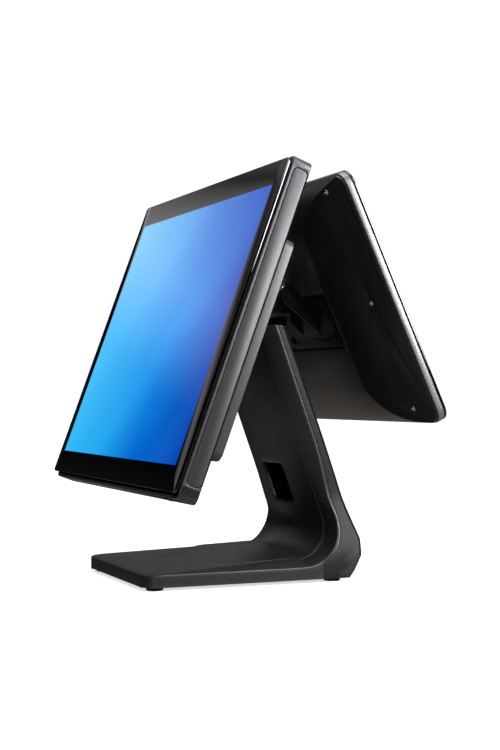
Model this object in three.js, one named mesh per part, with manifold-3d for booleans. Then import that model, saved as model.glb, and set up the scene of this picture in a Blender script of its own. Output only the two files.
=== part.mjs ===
// A counter-top point-of-sale terminal: a 15 inch touchscreen for the cashier and a smaller
// display for the customer, both hinged on the neck of one L-shaped stand.
// Millimetres, +Z up. The cashier sits on the -Y side, the customer on the +Y side.

import * as THREE from 'three';
import { mergeVertices } from 'three/addons/utils/BufferGeometryUtils.js';
import Module from 'manifold-3d';

const wasm = await Module();
wasm.setup();

// ---------------------------------------------------------------- driving dimensions

const GAP = 0.3;                 // clearance between neighbouring pieces
const ROUND_STEPS = 16;          // facets of a shaft, bore or foot
const SCREW_STEPS = 8;           // facets of a screw
const OVERCUT = 1;               // how far a cutting tool passes the surface it cuts

// Stand, side view: Y from the base's front edge, Z from the table.
const BASE_HALF_WIDTH = 80;
const BASE_BOTTOM = 3;
const BASE_SIDE_TOP = 13.2;      // top of the upright side wall
const BASE_FRONT_TOP = 12.2;
const BASE_FRONT_BEVEL = 3.5;
const BASE_TOP_START = 14.2;     // height of the base's top at its front
const BASE_TOP_SLOPE = 0.04;
const BASE_CORNER_RADIUS = 13;
const SEAM_Y = 156.8;            // upright joint between the casting and the rear cover
const SEAM_TOP = 18;
const ELBOW_Y = 140;             // centre of the inner bend between base and neck
const ELBOW_Z = 46.5;
const ELBOW_RADIUS = 28;
const NECK_LEAN = THREE.MathUtils.degToRad(20);
const NECK_TOP = 215;
const NECK_SPARE = 20;           // the neck is drawn this much too tall, then cut level
const NECK_HALF_WIDTH = 66.2;
const NECK_FRONT_HALF_WIDTH = 57;
const NECK_FRONT_FLARE = 3;      // extra half width of the front where the neck meets the bend
const NECK_FRONT_EVEN_Z = 95;    // the front keeps its width above this height
const BASE_MARGIN = { front: 4, rear: 10.5 };   // from the base's side in to the edge of its flat top
const CROWN = 8;                 // how far the middle of the front surface stands proud
const TONGUE_START = 28;         // where the neck's crowned sheet fades into the base
const TONGUE_END = 92;
const TONGUE_HALF_WIDTH = 63;
const TONGUE_TIP_HALF_WIDTH = 24;
const TONGUE_SPREAD = 0.85;      // power that rounds the tongue's outline
const TONGUE_MARGIN = 3;         // least distance from the tongue's edge to the flat's edge
const NECK_TONGUE_HALF_WIDTH = 54;
const STAND_WALL = 3;
const BASE_WALL = 4;
const COVER_WALL = 2.5;
const NECK_CHAMFER_DEPTH = 9.5;
const ELBOW_CHAMFER_DEPTH = 4.8;
const CHAMFER_EVEN_Z = 115;      // the chamfer keeps its depth above this height
const RIDGE_DEPTH = 2;           // upright strip of casting behind the chamfer
const FLARE_BOTTOM = 18;         // the neck widens into the base between these heights
const FLARE_TOP = 75;
const CASTING_LID = 4;           // thickness of the casting's closed top
const BASE_POST_BOTTOM = BASE_BOTTOM + 2;
const CABLE_HOLE = { width: 44, height: 36, radius: 5, z: 82.5, through: 40 };
const CABLE_EXIT = { halfWidth: 20, bottom: 67, top: 97, radius: 5, front: 165 };   // in the rear cover
const BRACKET_SLOT = { halfWidth: 41, front: 111.2, back: 117.4, depth: 10 };   // in the casting's top
const COVER_BACK = [             // the rear cover's side line, from the neck's top down to the heel
  [117.9, NECK_TOP + NECK_SPARE],
  [160.7, 121],
  [175, 80.4],
  [190.4, 34.5],
  [190.2, 20.7],
  [181, BASE_BOTTOM],
];
const COVER_INNER_FRONT = [[120, -5], [120, 60], [90, 190], [80, NECK_TOP + NECK_SPARE]];
const COVER_INNER_HEEL = 171.6;
const COVER_BULGE = 5;           // the cover's back stands this far behind its side lines
const COVER_EDGE = 6;            // width of the slanted strip along each side of the back
const POST_RADIUS = 5;           // bosses that hold the stand's screws
const PILOT_RADIUS = 1.9;        // hole in a boss
const CLEARANCE_RADIUS = 2.2;    // hole in a piece that a screw clamps
const BASE_SCREWS = [[-62, 22], [62, 22], [-62, 142], [62, 142]];
const BASE_SCREW = { shank: 1.5, length: 7, head: 2.8, height: 1.4 };
const BASE_PILOT_TOP = 11.5;
const COVER_SCREW_X = [-40, 40];
const COVER_SCREW_Z = 140;
const COVER_SCREW_SEAT = 156.9;  // where the screw head meets the rear cover, along Y
const COVER_SCREW = { shank: 1.5, length: 12, head: 3.4, height: 1.6 };
const COVER_SEAT_RADIUS = 4;
const COVER_POST = { front: 133.5, back: 153.2 };
const COVER_PILOT_FRONT = 140;
const BEHIND = 300;              // past the stand's back, for cutting tools and open hollows
const BELOW = -10;               // under the table, likewise
const BOTTOM_PLATE = { halfWidth: 75.6, front: 4.4, rear: 175, radius: 8, top: BASE_BOTTOM + 1.5 };
const BALLAST = { halfWidth: 54, front: 18, rear: 128, radius: 6, top: 10.4 };
const FEET = { x: 68, front: 12, rear: 170, radius: 7, bevel: 0.8 };

// Hinges: the two tilt axes, and where each head hangs from its axis.
const MAIN_PIVOT = { y: 98, z: 238 };
const MAIN_TILT = THREE.MathUtils.degToRad(20.25);
const MAIN_PIVOT_DEPTH = 46.5;   // behind the glass face
const MAIN_PIVOT_HEIGHT = 180;   // above the glass's lower edge
const DISPLAY_PIVOT = { y: 141, z: 253 };
const DISPLAY_TILT = THREE.MathUtils.degToRad(24.56);
const DISPLAY_PIVOT_DEPTH = 47.2;
const DISPLAY_PIVOT_HEIGHT = 149.4;
const MAIN_SHAFT_RADIUS = 5;
const DISPLAY_SHAFT_RADIUS = 4;
const SHELF = { front: 90, rear: 147, bottom: 224, top: 227, halfWidth: 34, lip: 3, lipDrop: 8 };
const STEM = { front: 108.5, thickness: 3, bottom: 165, halfWidth: 38 };
const MAIN_LUG = { inner: 22, outer: 26, radius: 9, shoulder: 8.5 };
const MAIN_EAR = { inner: 28, outer: 31.5, radius: 9, shoulder: 8.9, bottom: 169.5, top: 196 };
const DISPLAY_LUG = { inner: 12, outer: 15, radius: 7, shoulder: 6.5 };
const DISPLAY_EAR = { inner: 15.6, outer: 19.1, radius: 7, across: 5.8, along: 3.6, bottom: 92, top: 124.5 };
const SHAFTS = [
  { name: 'main', pivot: MAIN_PIVOT, radius: MAIN_SHAFT_RADIUS, end: 38, nut: 31.8, nutRadius: 8.5 },
  { name: 'display', pivot: DISPLAY_PIVOT, radius: DISPLAY_SHAFT_RADIUS, end: 26, nut: 19.4, nutRadius: 6.8 },
];
const NUT_WIDTH = 4.5;
const NUT_SIDES = 6;
const WASHER_RADIUS = 8;
const BORE_REACH = 40;           // half length of the cutting rods through the lugs and ears

// Cashier's head: X across, Y behind the glass face, Z up along the glass.
const MAIN_WIDTH = 331.4;
const MAIN_HEIGHT = 270;
const MAIN_GLASS = 3;
const MAIN_HOUSING = { bottom: -3.8, top: 273.6, front: 4.8, back: 20.9, wall: 2.5, sideWall: 4, radius: 5 };
const HOUSING_WINDOW = { halfWidth: 120, bottom: 50, top: 198 };   // opens the housing into the module
const SIDE_COVER = { bottom: 9, top: 265, front: 7.8, back: 19.6, thickness: 1.2, radius: 4 };
const MODULE = { halfWidth: 155.7, bottom: 34, top: 214, back: 32, wall: 2.2, radius: 7 };
const MAIN_LCD = { halfWidth: 158, bottom: 10, top: 260, front: 3.6, back: 10.4 };
const CHASSIS = { gap: 0.6, thickness: 1.2 };
const MAIN_BOARD = { halfWidth: 85, front: 14.2, back: 15.8, bottom: 60, top: 190 };
const HEATSINK = { halfWidth: 31, front: 16.2, base: 18.5, back: 28, bottom: 125, top: 175 };
const FIN = { count: 9, pitch: 7, root: 1.6, tip: 1.1 };
const DRIVE = { left: 80, right: 148, front: 21.6, back: 28.6, bottom: 90, top: 190 };
const SPEAKER = { inner: 100, outer: 145, bottom: 4, top: 24, radius: 4, front: 13, back: 18 };
const SOCKET = { count: 6, pitch: 20, halfWidth: 7, front: 23.4, back: 27.6, bottom: 33, top: 37.3 };
const PORT_WINDOW_HALF = 66;
const VENT = { count: 11, pitch: 11, halfWidth: 2, bottom: 70, top: 120 };
const HEAD_SCREWS = [[-37.5, 158], [37.5, 158], [-37.5, 202], [37.5, 202]];
const HEAD_PLATE = {
  halfWidth: 46, bottom: 150, top: 210, radius: 5, front: MODULE.back + GAP, back: MODULE.back + 2.8,
};
const PLATE_SCREW = { shank: 1.8, length: 9, head: 3.4, height: 1.8 };   // clamps both hinge plates
const POWER_BUTTON = { x: 128, y: 12.5, width: 11, depth: 5, radius: 1.8, proud: 1, inner: 1.5 };
const BUTTON_FLANGE = { halfWidth: 8, halfDepth: 3.6, top: 0.2 };

// Customer's head, in the same local axes as the cashier's.
const DISPLAY_WIDTH = 270;
const DISPLAY_HEIGHT = 221.6;
const DISPLAY_RADIUS = 12;
const DISPLAY_GLASS = 2.2;
const DISPLAY_FRAME_BACK = 8.2;
const DISPLAY_SHELL_BACK = 27.2;
const DISPLAY_SHELL_WALL = 2.5;
const DISPLAY_FLAT = { halfWidth: 62, bottom: 39.6, top: 171.2 };
const DISPLAY_RECESS = { halfWidth: 58, bottom: 78, top: 129, floor: 23.7 };
const DISPLAY_LCD = { halfWidth: 128, front: 2.6, back: 6.7, bottom: 12, top: 209 };
const DISPLAY_BOARD = { halfWidth: 60, front: 11, back: 12.6, bottom: 60, top: 120 };
const DISPLAY_PLATE = {
  halfWidth: 50, bottom: 81, top: 126, radius: 4, front: DISPLAY_RECESS.floor + GAP, back: 26.5,
};
const PLATE_SCREWS = [[-42, 88], [42, 88], [-42, 119], [42, 119]];
const SHELL_FRONT = DISPLAY_FRAME_BACK + GAP;
const SHELL_RIM = SHELL_FRONT + 0.7;
const SHELL_MARGIN = 0.8;        // from the frame's bottom and top edges in to the shell's
const SHELL_HALF_WIDTH = DISPLAY_WIDTH / 2 - 1.5;
const SHELL_SCREWS = [[109, 210], [109, 111.6], [109, 16], [-109, 210], [-109, 111.6], [-109, 16]];
const SHELL_SCREW = { shank: 1.2, length: 7, head: 2.4, height: 1.2 };
const SHELL_SCREW_SEAT = 14.2;
const SHELL_CURVE_STEPS = 9;
const SHELL_BORE_RADIUS = 1.6;
const SHELL_SEAT_RADIUS = 2.9;
const FRAME_WELL = { lip: 3.5, radius: 9, floor: 7 };   // holds the display panel
const FRAME_WINDOW = { halfWidth: 98, bottom: 30, top: 190 };

// ---------------------------------------------------------------- materials

const paint = {
  casting: { color: 0x1c1b1c, roughness: 0.5, metalness: 0.3 },
  cover: { color: 0x2c2d31, roughness: 0.55, metalness: 0.1 },
  housing: { color: 0x26262a, roughness: 0.6, metalness: 0.05 },
  gloss: { color: 0x0b0b0d, roughness: 0.15, metalness: 0.05 },
  glass: { color: 0x050507, roughness: 0.05, metalness: 0.0 },
  screen: { color: 0x1e78d6, roughness: 0.3, metalness: 0.0 },
  rubber: { color: 0x151515, roughness: 0.9, metalness: 0.0 },
  steel: { color: 0x8c8f94, roughness: 0.4, metalness: 0.9 },
  blackSteel: { color: 0x17181a, roughness: 0.5, metalness: 0.6 },
  chrome: { color: 0xd6d8dc, roughness: 0.15, metalness: 1.0 },
  aluminium: { color: 0xa9acb0, roughness: 0.4, metalness: 0.9 },
  board: { color: 0x1d5a38, roughness: 0.6, metalness: 0.1 },
};

function piece(parent, name, geometry, finish) {
  const mesh = new THREE.Mesh(geometry, new THREE.MeshStandardMaterial(paint[finish]));
  mesh.name = name;
  parent.add(mesh);
  return mesh;
}

// ---------------------------------------------------------------- joining and cutting

function toSolid(geometry) {
  const bare = geometry.clone();
  bare.deleteAttribute('normal');
  bare.deleteAttribute('uv');
  const merged = mergeVertices(bare);
  const mesh = new wasm.Mesh({
    numProp: 3,
    vertProperties: merged.attributes.position.array,
    triVerts: new Uint32Array(merged.index.array),
  });
  return new wasm.Manifold(mesh);
}

function toGeometry(solid) {
  const mesh = solid.getMesh();
  const geometry = new THREE.BufferGeometry();
  geometry.setAttribute('position', new THREE.BufferAttribute(new Float32Array(mesh.vertProperties), 3));
  geometry.setIndex(new THREE.BufferAttribute(new Uint32Array(mesh.triVerts), 1));
  geometry.computeVertexNormals();
  return geometry;
}

function join(...geometries) {
  return toGeometry(geometries.map(toSolid).reduce((sum, next) => sum.add(next)));
}

function cut(body, ...tools) {
  return toGeometry(tools.map(toSolid).reduce((rest, tool) => rest.subtract(tool), toSolid(body)));
}

function common(...geometries) {
  return toGeometry(geometries.map(toSolid).reduce((rest, next) => rest.intersect(next)));
}

// ---------------------------------------------------------------- simple shapes

function box(x0, x1, y0, y1, z0, z1) {
  const geometry = new THREE.BoxGeometry(x1 - x0, y1 - y0, z1 - z0);
  return geometry.translate((x0 + x1) / 2, (y0 + y1) / 2, (z0 + z1) / 2);
}

function outline(points) {
  return new THREE.Shape(points.map(([x, y]) => new THREE.Vector2(x, y)));
}

function roundedRectangle(x0, x1, y0, y1, radius) {
  const shape = new THREE.Shape();
  shape.moveTo(x0 + radius, y0);
  shape.lineTo(x1 - radius, y0);
  shape.absarc(x1 - radius, y0 + radius, radius, -Math.PI / 2, 0, false);
  shape.lineTo(x1, y1 - radius);
  shape.absarc(x1 - radius, y1 - radius, radius, 0, Math.PI / 2, false);
  shape.lineTo(x0 + radius, y1);
  shape.absarc(x0 + radius, y1 - radius, radius, Math.PI / 2, Math.PI, false);
  shape.lineTo(x0, y0 + radius);
  shape.absarc(x0 + radius, y0 + radius, radius, Math.PI, Math.PI * 1.5, false);
  return shape;
}

// A shape drawn in X and Z, extruded along Y from y0 to y1.
function slabAlongY(shape, y0, y1, curveSegments = 2) {
  const geometry = new THREE.ExtrudeGeometry(shape, { depth: y1 - y0, bevelEnabled: false, curveSegments });
  return geometry.rotateX(Math.PI / 2).translate(0, y1, 0);
}

// A shape drawn in Y and Z, extruded along X from x0 to x1.
function slabAlongX(shape, x0, x1, curveSegments = 2) {
  const geometry = new THREE.ExtrudeGeometry(shape, { depth: x1 - x0, bevelEnabled: false, curveSegments });
  return geometry.rotateX(Math.PI / 2).rotateZ(Math.PI / 2).translate(x0, 0, 0);
}

// A shape drawn in X and Y, extruded along Z from z0 to z1.
function slabAlongZ(shape, z0, z1, curveSegments = 2) {
  const geometry = new THREE.ExtrudeGeometry(shape, { depth: z1 - z0, bevelEnabled: false, curveSegments });
  return geometry.translate(0, 0, z0);
}

function rodAlongX(radius, x0, x1, y, z, segments = ROUND_STEPS) {
  const geometry = new THREE.CylinderGeometry(radius, radius, x1 - x0, segments);
  return geometry.rotateZ(-Math.PI / 2).translate((x0 + x1) / 2, y, z);
}

function rodAlongY(radius, y0, y1, x, z, segments = ROUND_STEPS) {
  const geometry = new THREE.CylinderGeometry(radius, radius, y1 - y0, segments);
  return geometry.translate(x, (y0 + y1) / 2, z);
}

function rodAlongZ(radius, z0, z1, x, y, segments = ROUND_STEPS) {
  const geometry = new THREE.CylinderGeometry(radius, radius, z1 - z0, segments);
  return geometry.rotateX(Math.PI / 2).translate(x, y, (z0 + z1) / 2);
}

const turned = (profile, sides) => (
  new THREE.LatheGeometry(profile.map(([x, y]) => new THREE.Vector2(x, y)), sides));

// A pan-head screw: half profile from the tip up to the crown of the head, on the Y axis.
function screw({ shank, length, head, height }) {
  return turned([
    [0, 0],
    [shank * 0.7, 0],
    [shank, shank * 0.5],
    [shank, length],
    [head, length],
    [head, length + height * 0.6],
    [head * 0.7, length + height],
    [0, length + height],
  ], SCREW_STEPS);
}

// ---------------------------------------------------------------- stand: the crowned surface

const lerp = THREE.MathUtils.lerp;
const smoothstep = THREE.MathUtils.smoothstep;

const BASE_STATIONS = [BASE_FRONT_BEVEL, TONGUE_START, 40, 54, 68, 80, TONGUE_END, 114];
const NECK_STATIONS = [75, 95, 115];
const ELBOW_STEPS = 8;

const baseTop = (y) => BASE_TOP_START + BASE_TOP_SLOPE * y;
const elbowEnd = {
  y: ELBOW_Y + ELBOW_RADIUS * Math.cos(NECK_LEAN),
  z: ELBOW_Z + ELBOW_RADIUS * Math.sin(NECK_LEAN),
};
const neckFront = (z) => elbowEnd.y - Math.tan(NECK_LEAN) * (z - elbowEnd.z);
const flare = (z) => smoothstep(z, FLARE_BOTTOM, FLARE_TOP);
const sideHalfWidth = (z) => lerp(BASE_HALF_WIDTH, NECK_HALF_WIDTH, flare(z));
const chamferDepth = (z) => (
  lerp(ELBOW_CHAMFER_DEPTH, NECK_CHAMFER_DEPTH, smoothstep(z, elbowEnd.z, CHAMFER_EVEN_Z)));

// Stations along the front surface, from the base's front edge to the neck's top. Each has its
// point and outward normal in the YZ plane, and how the section across X is shaped there.
function frontStations() {
  const stations = [];
  const baseSlope = Math.atan(BASE_TOP_SLOPE);
  const baseNormal = [-Math.sin(baseSlope), Math.cos(baseSlope)];
  const add = (y, z, normal, section) => stations.push({ y, z, normal, ...section });
  const baseSection = (y) => {
    const along = THREE.MathUtils.clamp((y - TONGUE_START) / (TONGUE_END - TONGUE_START), 0, 1);
    const spread = Math.pow(along, TONGUE_SPREAD);
    return {
      edge: BASE_HALF_WIDTH
        - lerp(BASE_MARGIN.front, BASE_MARGIN.rear, THREE.MathUtils.clamp(y / ELBOW_Y, 0, 1)),
      side: BASE_HALF_WIDTH,
      drop: baseTop(y) - BASE_SIDE_TOP,
      tongue: Math.max(TONGUE_TIP_HALF_WIDTH, TONGUE_HALF_WIDTH * spread),
      crown: CROWN * spread * spread,
    };
  };
  add(0, BASE_FRONT_TOP, [-1, 0], { ...baseSection(0), drop: 0 });
  BASE_STATIONS.forEach((y) => add(y, baseTop(y), baseNormal, baseSection(y)));
  const startAngle = -Math.PI / 2 + baseSlope;
  for (let i = 0; i <= ELBOW_STEPS; i += 1) {
    const part = i / ELBOW_STEPS;
    const angle = lerp(startAngle, NECK_LEAN, part);
    const z = ELBOW_Z + ELBOW_RADIUS * Math.sin(angle);
    add(ELBOW_Y + ELBOW_RADIUS * Math.cos(angle), z, [-Math.cos(angle), -Math.sin(angle)], {
      edge: lerp(BASE_HALF_WIDTH - BASE_MARGIN.rear, NECK_FRONT_HALF_WIDTH + NECK_FRONT_FLARE, part),
      side: sideHalfWidth(z),
      drop: ELBOW_CHAMFER_DEPTH,
      tongue: lerp(TONGUE_HALF_WIDTH, NECK_TONGUE_HALF_WIDTH, part),
      crown: CROWN,
    });
  }
  const neckNormal = [-Math.cos(NECK_LEAN), -Math.sin(NECK_LEAN)];
  const narrowing = (z) => smoothstep(z, elbowEnd.z, NECK_FRONT_EVEN_Z);
  [...NECK_STATIONS, NECK_TOP + NECK_SPARE - CROWN].forEach((z) => {
    add(neckFront(z), z, neckNormal, {
      edge: lerp(NECK_FRONT_HALF_WIDTH + NECK_FRONT_FLARE, NECK_FRONT_HALF_WIDTH, narrowing(z)),
      side: sideHalfWidth(z),
      drop: chamferDepth(z),
      tongue: NECK_TONGUE_HALF_WIDTH,
      crown: CROWN,
    });
  });
  return stations;
}

// Half of the columns across X: the middle, the tongue's edge, the flat's edge and the side.
const TONGUE_COLUMNS = 4;
const EDGE_COLUMN = TONGUE_COLUMNS + 1;
const SIDE_COLUMN = TONGUE_COLUMNS + 2;

// A point of the front surface at one station and column, moved inwards by a wall thickness.
function frontPoint(station, column, inset) {
  const index = Math.abs(column);
  const side = Math.sign(column);
  let x = station.side;
  let lift = -station.drop;
  if (index <= TONGUE_COLUMNS) {
    const across = index / TONGUE_COLUMNS;
    x = Math.min(station.tongue, station.edge - TONGUE_MARGIN - inset) * across;
    lift = station.crown * (1 - across * across);
  } else if (index === EDGE_COLUMN) {
    x = station.edge;
    lift = 0;
  }
  if (index === SIDE_COLUMN || index === EDGE_COLUMN) {
    x -= inset;
  }
  const [ny, nz] = station.normal;
  return new THREE.Vector3(side * x, station.y + ny * (lift - inset), station.z + nz * (lift - inset));
}

// Extrudes a closed outline of rails across X. place(rail, column) gives each vertex.
function loftAcross(railCount, place) {
  const ends = [];
  for (let rail = 0; rail < railCount; rail += 1) {
    const point = place(rail, -SIDE_COLUMN);
    ends.push(new THREE.Vector2(point.y, point.z));
  }
  const key = (x, y) => `${x.toFixed(3)},${y.toFixed(3)}`;
  const railAt = new Map(ends.map((point, rail) => [key(point.x, point.y), rail]));
  const steps = 2 * SIDE_COLUMN;
  const options = { depth: steps, steps, bevelEnabled: false };
  const geometry = new THREE.ExtrudeGeometry(new THREE.Shape(ends), options);
  const position = geometry.attributes.position;
  for (let i = 0; i < position.count; i += 1) {
    const rail = railAt.get(key(position.getX(i), position.getY(i)));
    const point = place(rail, Math.round(position.getZ(i)) - SIDE_COLUMN);
    position.setXYZ(i, point.x, point.y, point.z);
  }
  return geometry;
}

// How far out each column lies on the plain surfaces behind and inside the stand.
const COLUMN_SPREAD = [0, 0.25, 0.5, 0.72, 0.82, 0.91, 1];
const columnFraction = (column) => Math.sign(column) * COLUMN_SPREAD[Math.abs(column)];

// The line behind the chamfer where the casting ends and the rear cover begins.
function ridgeLine(offset) {
  const line = [];
  [...NECK_STATIONS, NECK_TOP + NECK_SPARE].reverse().forEach((z) => {
    line.push([neckFront(z) + (chamferDepth(z) + offset) / Math.cos(NECK_LEAN), z]);
  });
  const radius = ELBOW_RADIUS + ELBOW_CHAMFER_DEPTH + offset;
  [NECK_LEAN, 0, -0.35, -0.65].forEach((angle) => {
    line.push([ELBOW_Y + radius * Math.cos(angle), ELBOW_Z + radius * Math.sin(angle)]);
  });
  return line;
}

// ---------------------------------------------------------------- stand: casting and cover

function castingBody(stations, back, inset) {
  const place = (rail, column) => {
    if (rail < stations.length) {
      return frontPoint(stations[rail], column, inset);
    }
    const [y, z] = back[rail - stations.length];
    return new THREE.Vector3(columnFraction(column) * (sideHalfWidth(z) - inset), y, z);
  };
  return loftAcross(stations.length + back.length, place);
}

function neckBlock(across, along, through, centreZ) {
  const shape = roundedRectangle(-across / 2, across / 2, -along / 2, along / 2, CABLE_HOLE.radius);
  const block = slabAlongY(shape, -through / 2, through / 2);
  return block.rotateX(NECK_LEAN).translate(0, neckFront(centreZ), centreZ);
}

function makeCasting() {
  const stations = frontStations();
  const back = [...ridgeLine(RIDGE_DEPTH), [SEAM_Y, SEAM_TOP], [SEAM_Y, BASE_BOTTOM], [0, BASE_BOTTOM]];
  const outer = castingBody(stations, back, 0);
  const innerStations = stations.slice(1);
  const openBack = [[BEHIND, NECK_TOP + NECK_SPARE], [BEHIND, BELOW], [innerStations[0].y, BELOW]];
  const inner = castingBody(innerStations, openBack, STAND_WALL);
  const plan = roundedRectangle(-BASE_HALF_WIDTH, BASE_HALF_WIDTH, 0, BEHIND, BASE_CORNER_RADIUS);
  const hollowHalf = BASE_HALF_WIDTH - BASE_WALL;
  const hollowRadius = BASE_CORNER_RADIUS - BASE_WALL;
  const hollowPlan = roundedRectangle(-hollowHalf, hollowHalf, BASE_WALL, BEHIND, hollowRadius);
  const hollow = common(inner, slabAlongZ(hollowPlan, BELOW, NECK_TOP - CASTING_LID));
  const shell = cut(common(outer, slabAlongZ(plan, 0, NECK_TOP)), hollow);
  const basePosts = BASE_SCREWS.map(([x, y]) => (
    rodAlongZ(POST_RADIUS, BASE_POST_BOTTOM, baseTop(y) - 1.5, x, y)));
  const coverPosts = COVER_SCREW_X.map((x) => rodAlongY(POST_RADIUS, COVER_POST.front, COVER_POST.back,
    x, COVER_SCREW_Z));
  const baseBores = BASE_SCREWS.map(([x, y]) => rodAlongZ(PILOT_RADIUS, 0, BASE_PILOT_TOP, x, y));
  const coverBores = COVER_SCREW_X.map((x) => rodAlongY(PILOT_RADIUS, COVER_PILOT_FRONT, BEHIND,
    x, COVER_SCREW_Z));
  const slot = BRACKET_SLOT;
  const bracketSlot = box(-slot.halfWidth, slot.halfWidth, slot.front, slot.back,
    NECK_TOP - slot.depth, NECK_TOP + OVERCUT);
  const cableHole = neckBlock(CABLE_HOLE.width, CABLE_HOLE.height, CABLE_HOLE.through, CABLE_HOLE.z);
  const body = join(shell, ...basePosts, ...coverPosts);
  return cut(body, bracketSlot, cableHole, ...baseBores, ...coverBores);
}

function coverBody(front, back, inset) {
  const rails = [...front, ...back];
  const place = (rail, column) => {
    const [y, z] = rails[rail];
    const index = Math.abs(column);
    const half = sideHalfWidth(z) - inset;
    if (rail < front.length) {
      return new THREE.Vector3(columnFraction(column) * half, y, z);
    }
    if (index === SIDE_COLUMN) {
      return new THREE.Vector3(Math.sign(column) * half, y, z);
    }
    const bulge = z > BASE_BOTTOM + 1 ? COVER_BULGE : 0;
    const x = ((half - COVER_EDGE) * index) / EDGE_COLUMN;
    return new THREE.Vector3(Math.sign(column) * x, y + bulge, z);
  };
  return loftAcross(rails.length, place);
}

function makeRearCover() {
  const seam = SEAM_Y + GAP;
  const front = [[seam, BASE_BOTTOM], [seam, SEAM_TOP], ...ridgeLine(RIDGE_DEPTH + GAP).reverse()];
  const outer = coverBody(front, COVER_BACK, 0);
  const inside = COVER_BACK.map(([y, z]) => [y - COVER_WALL - 0.5, z]);
  inside[inside.length - 1] = [COVER_INNER_HEEL, COVER_INNER_FRONT[0][1]];
  const width = BASE_HALF_WIDTH + OVERCUT;
  const belowTop = box(-width, width, 0, BEHIND, BELOW, NECK_TOP - COVER_WALL);
  const inner = common(coverBody(COVER_INNER_FRONT, inside, COVER_WALL), belowTop);
  const level = box(-width, width, 0, BEHIND, 0, NECK_TOP);
  const bores = COVER_SCREW_X.map((x) => (
    rodAlongY(CLEARANCE_RADIUS, COVER_PILOT_FRONT, BEHIND, x, COVER_SCREW_Z)));
  const seats = COVER_SCREW_X.map((x) => (
    rodAlongY(COVER_SEAT_RADIUS, COVER_SCREW_SEAT, BEHIND, x, COVER_SCREW_Z)));
  const exit = CABLE_EXIT;
  const exitShape = roundedRectangle(-exit.halfWidth, exit.halfWidth, exit.bottom, exit.top, exit.radius);
  const cableExit = slabAlongY(exitShape, exit.front, BEHIND);
  return cut(common(outer, level), inner, cableExit, ...bores, ...seats);
}

// ---------------------------------------------------------------- stand: loose pieces

function makeBottomPlate() {
  const { halfWidth, front, rear, radius, top } = BOTTOM_PLATE;
  const plate = slabAlongZ(roundedRectangle(-halfWidth, halfWidth, front, rear, radius), BASE_BOTTOM, top);
  return cut(plate, ...BASE_SCREWS.map(([x, y]) => rodAlongZ(PILOT_RADIUS, 0, top + OVERCUT, x, y)));
}

function makeBallast() {
  const { halfWidth, front, rear, radius, top } = BALLAST;
  const plan = roundedRectangle(-halfWidth, halfWidth, front, rear, radius);
  return slabAlongZ(plan, BOTTOM_PLATE.top + GAP, top);
}

function makeFoot() {
  const top = BASE_BOTTOM - GAP;
  const { radius, bevel } = FEET;
  const foot = turned([[0, 0], [radius - bevel, 0], [radius, bevel], [radius, top], [0, top]], ROUND_STEPS);
  return foot.rotateX(Math.PI / 2);
}

function addStand(parent) {
  piece(parent, 'stand_casting', makeCasting(), 'casting');
  piece(parent, 'neck_rear_cover', makeRearCover(), 'cover');
  piece(parent, 'base_bottom_plate', makeBottomPlate(), 'blackSteel');
  piece(parent, 'ballast_plate', makeBallast(), 'steel');
  [['front', FEET.front], ['rear', FEET.rear]].forEach(([row, y]) => {
    [['left', -1], ['right', 1]].forEach(([side, sign]) => {
      piece(parent, `foot_${row}_${side}`, makeFoot(), 'rubber').position.set(sign * FEET.x, y, 0);
    });
  });
  BASE_SCREWS.forEach(([x, y], index) => {
    const upright = screw(BASE_SCREW).rotateX(-Math.PI / 2);
    const mesh = piece(parent, `base_screw_${index + 1}`, upright, 'steel');
    mesh.position.set(x, y, BASE_BOTTOM - GAP + BASE_SCREW.length);
  });
  COVER_SCREW_X.forEach((x, index) => {
    const mesh = piece(parent, `cover_screw_${index + 1}`, screw(COVER_SCREW), 'blackSteel');
    mesh.position.set(x, COVER_SCREW_SEAT + GAP - COVER_SCREW.length, COVER_SCREW_Z);
  });
}

// ---------------------------------------------------------------- hinges

const SIDES = [['left', -1], ['right', 1]];
const sortedPair = (a, b) => [a, b].sort((low, high) => low - high);
const eyeBore = (shaft, y, z) => rodAlongX(shaft + GAP, -BORE_REACH, BORE_REACH, y, z);

// A flat lug across X on both sides of the middle: a web under a round eye.
function pairOfEyes(eye, y, z, webPoints) {
  return [-1, 1].map((sign) => {
    const [x0, x1] = sortedPair(sign * eye.inner, sign * eye.outer);
    return join(slabAlongX(outline(webPoints), x0, x1), rodAlongX(eye.radius, x0, x1, y, z));
  });
}

function makeStem() {
  const top = SHELF.bottom + 1;
  const run = Math.tan(NECK_LEAN) * (top - STEM.bottom);
  const back = STEM.front + STEM.thickness;
  return slabAlongX(outline([
    [STEM.front, top],
    [STEM.front + run, STEM.bottom],
    [back + run, STEM.bottom],
    [back, top],
  ]), -STEM.halfWidth, STEM.halfWidth);
}

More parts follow.
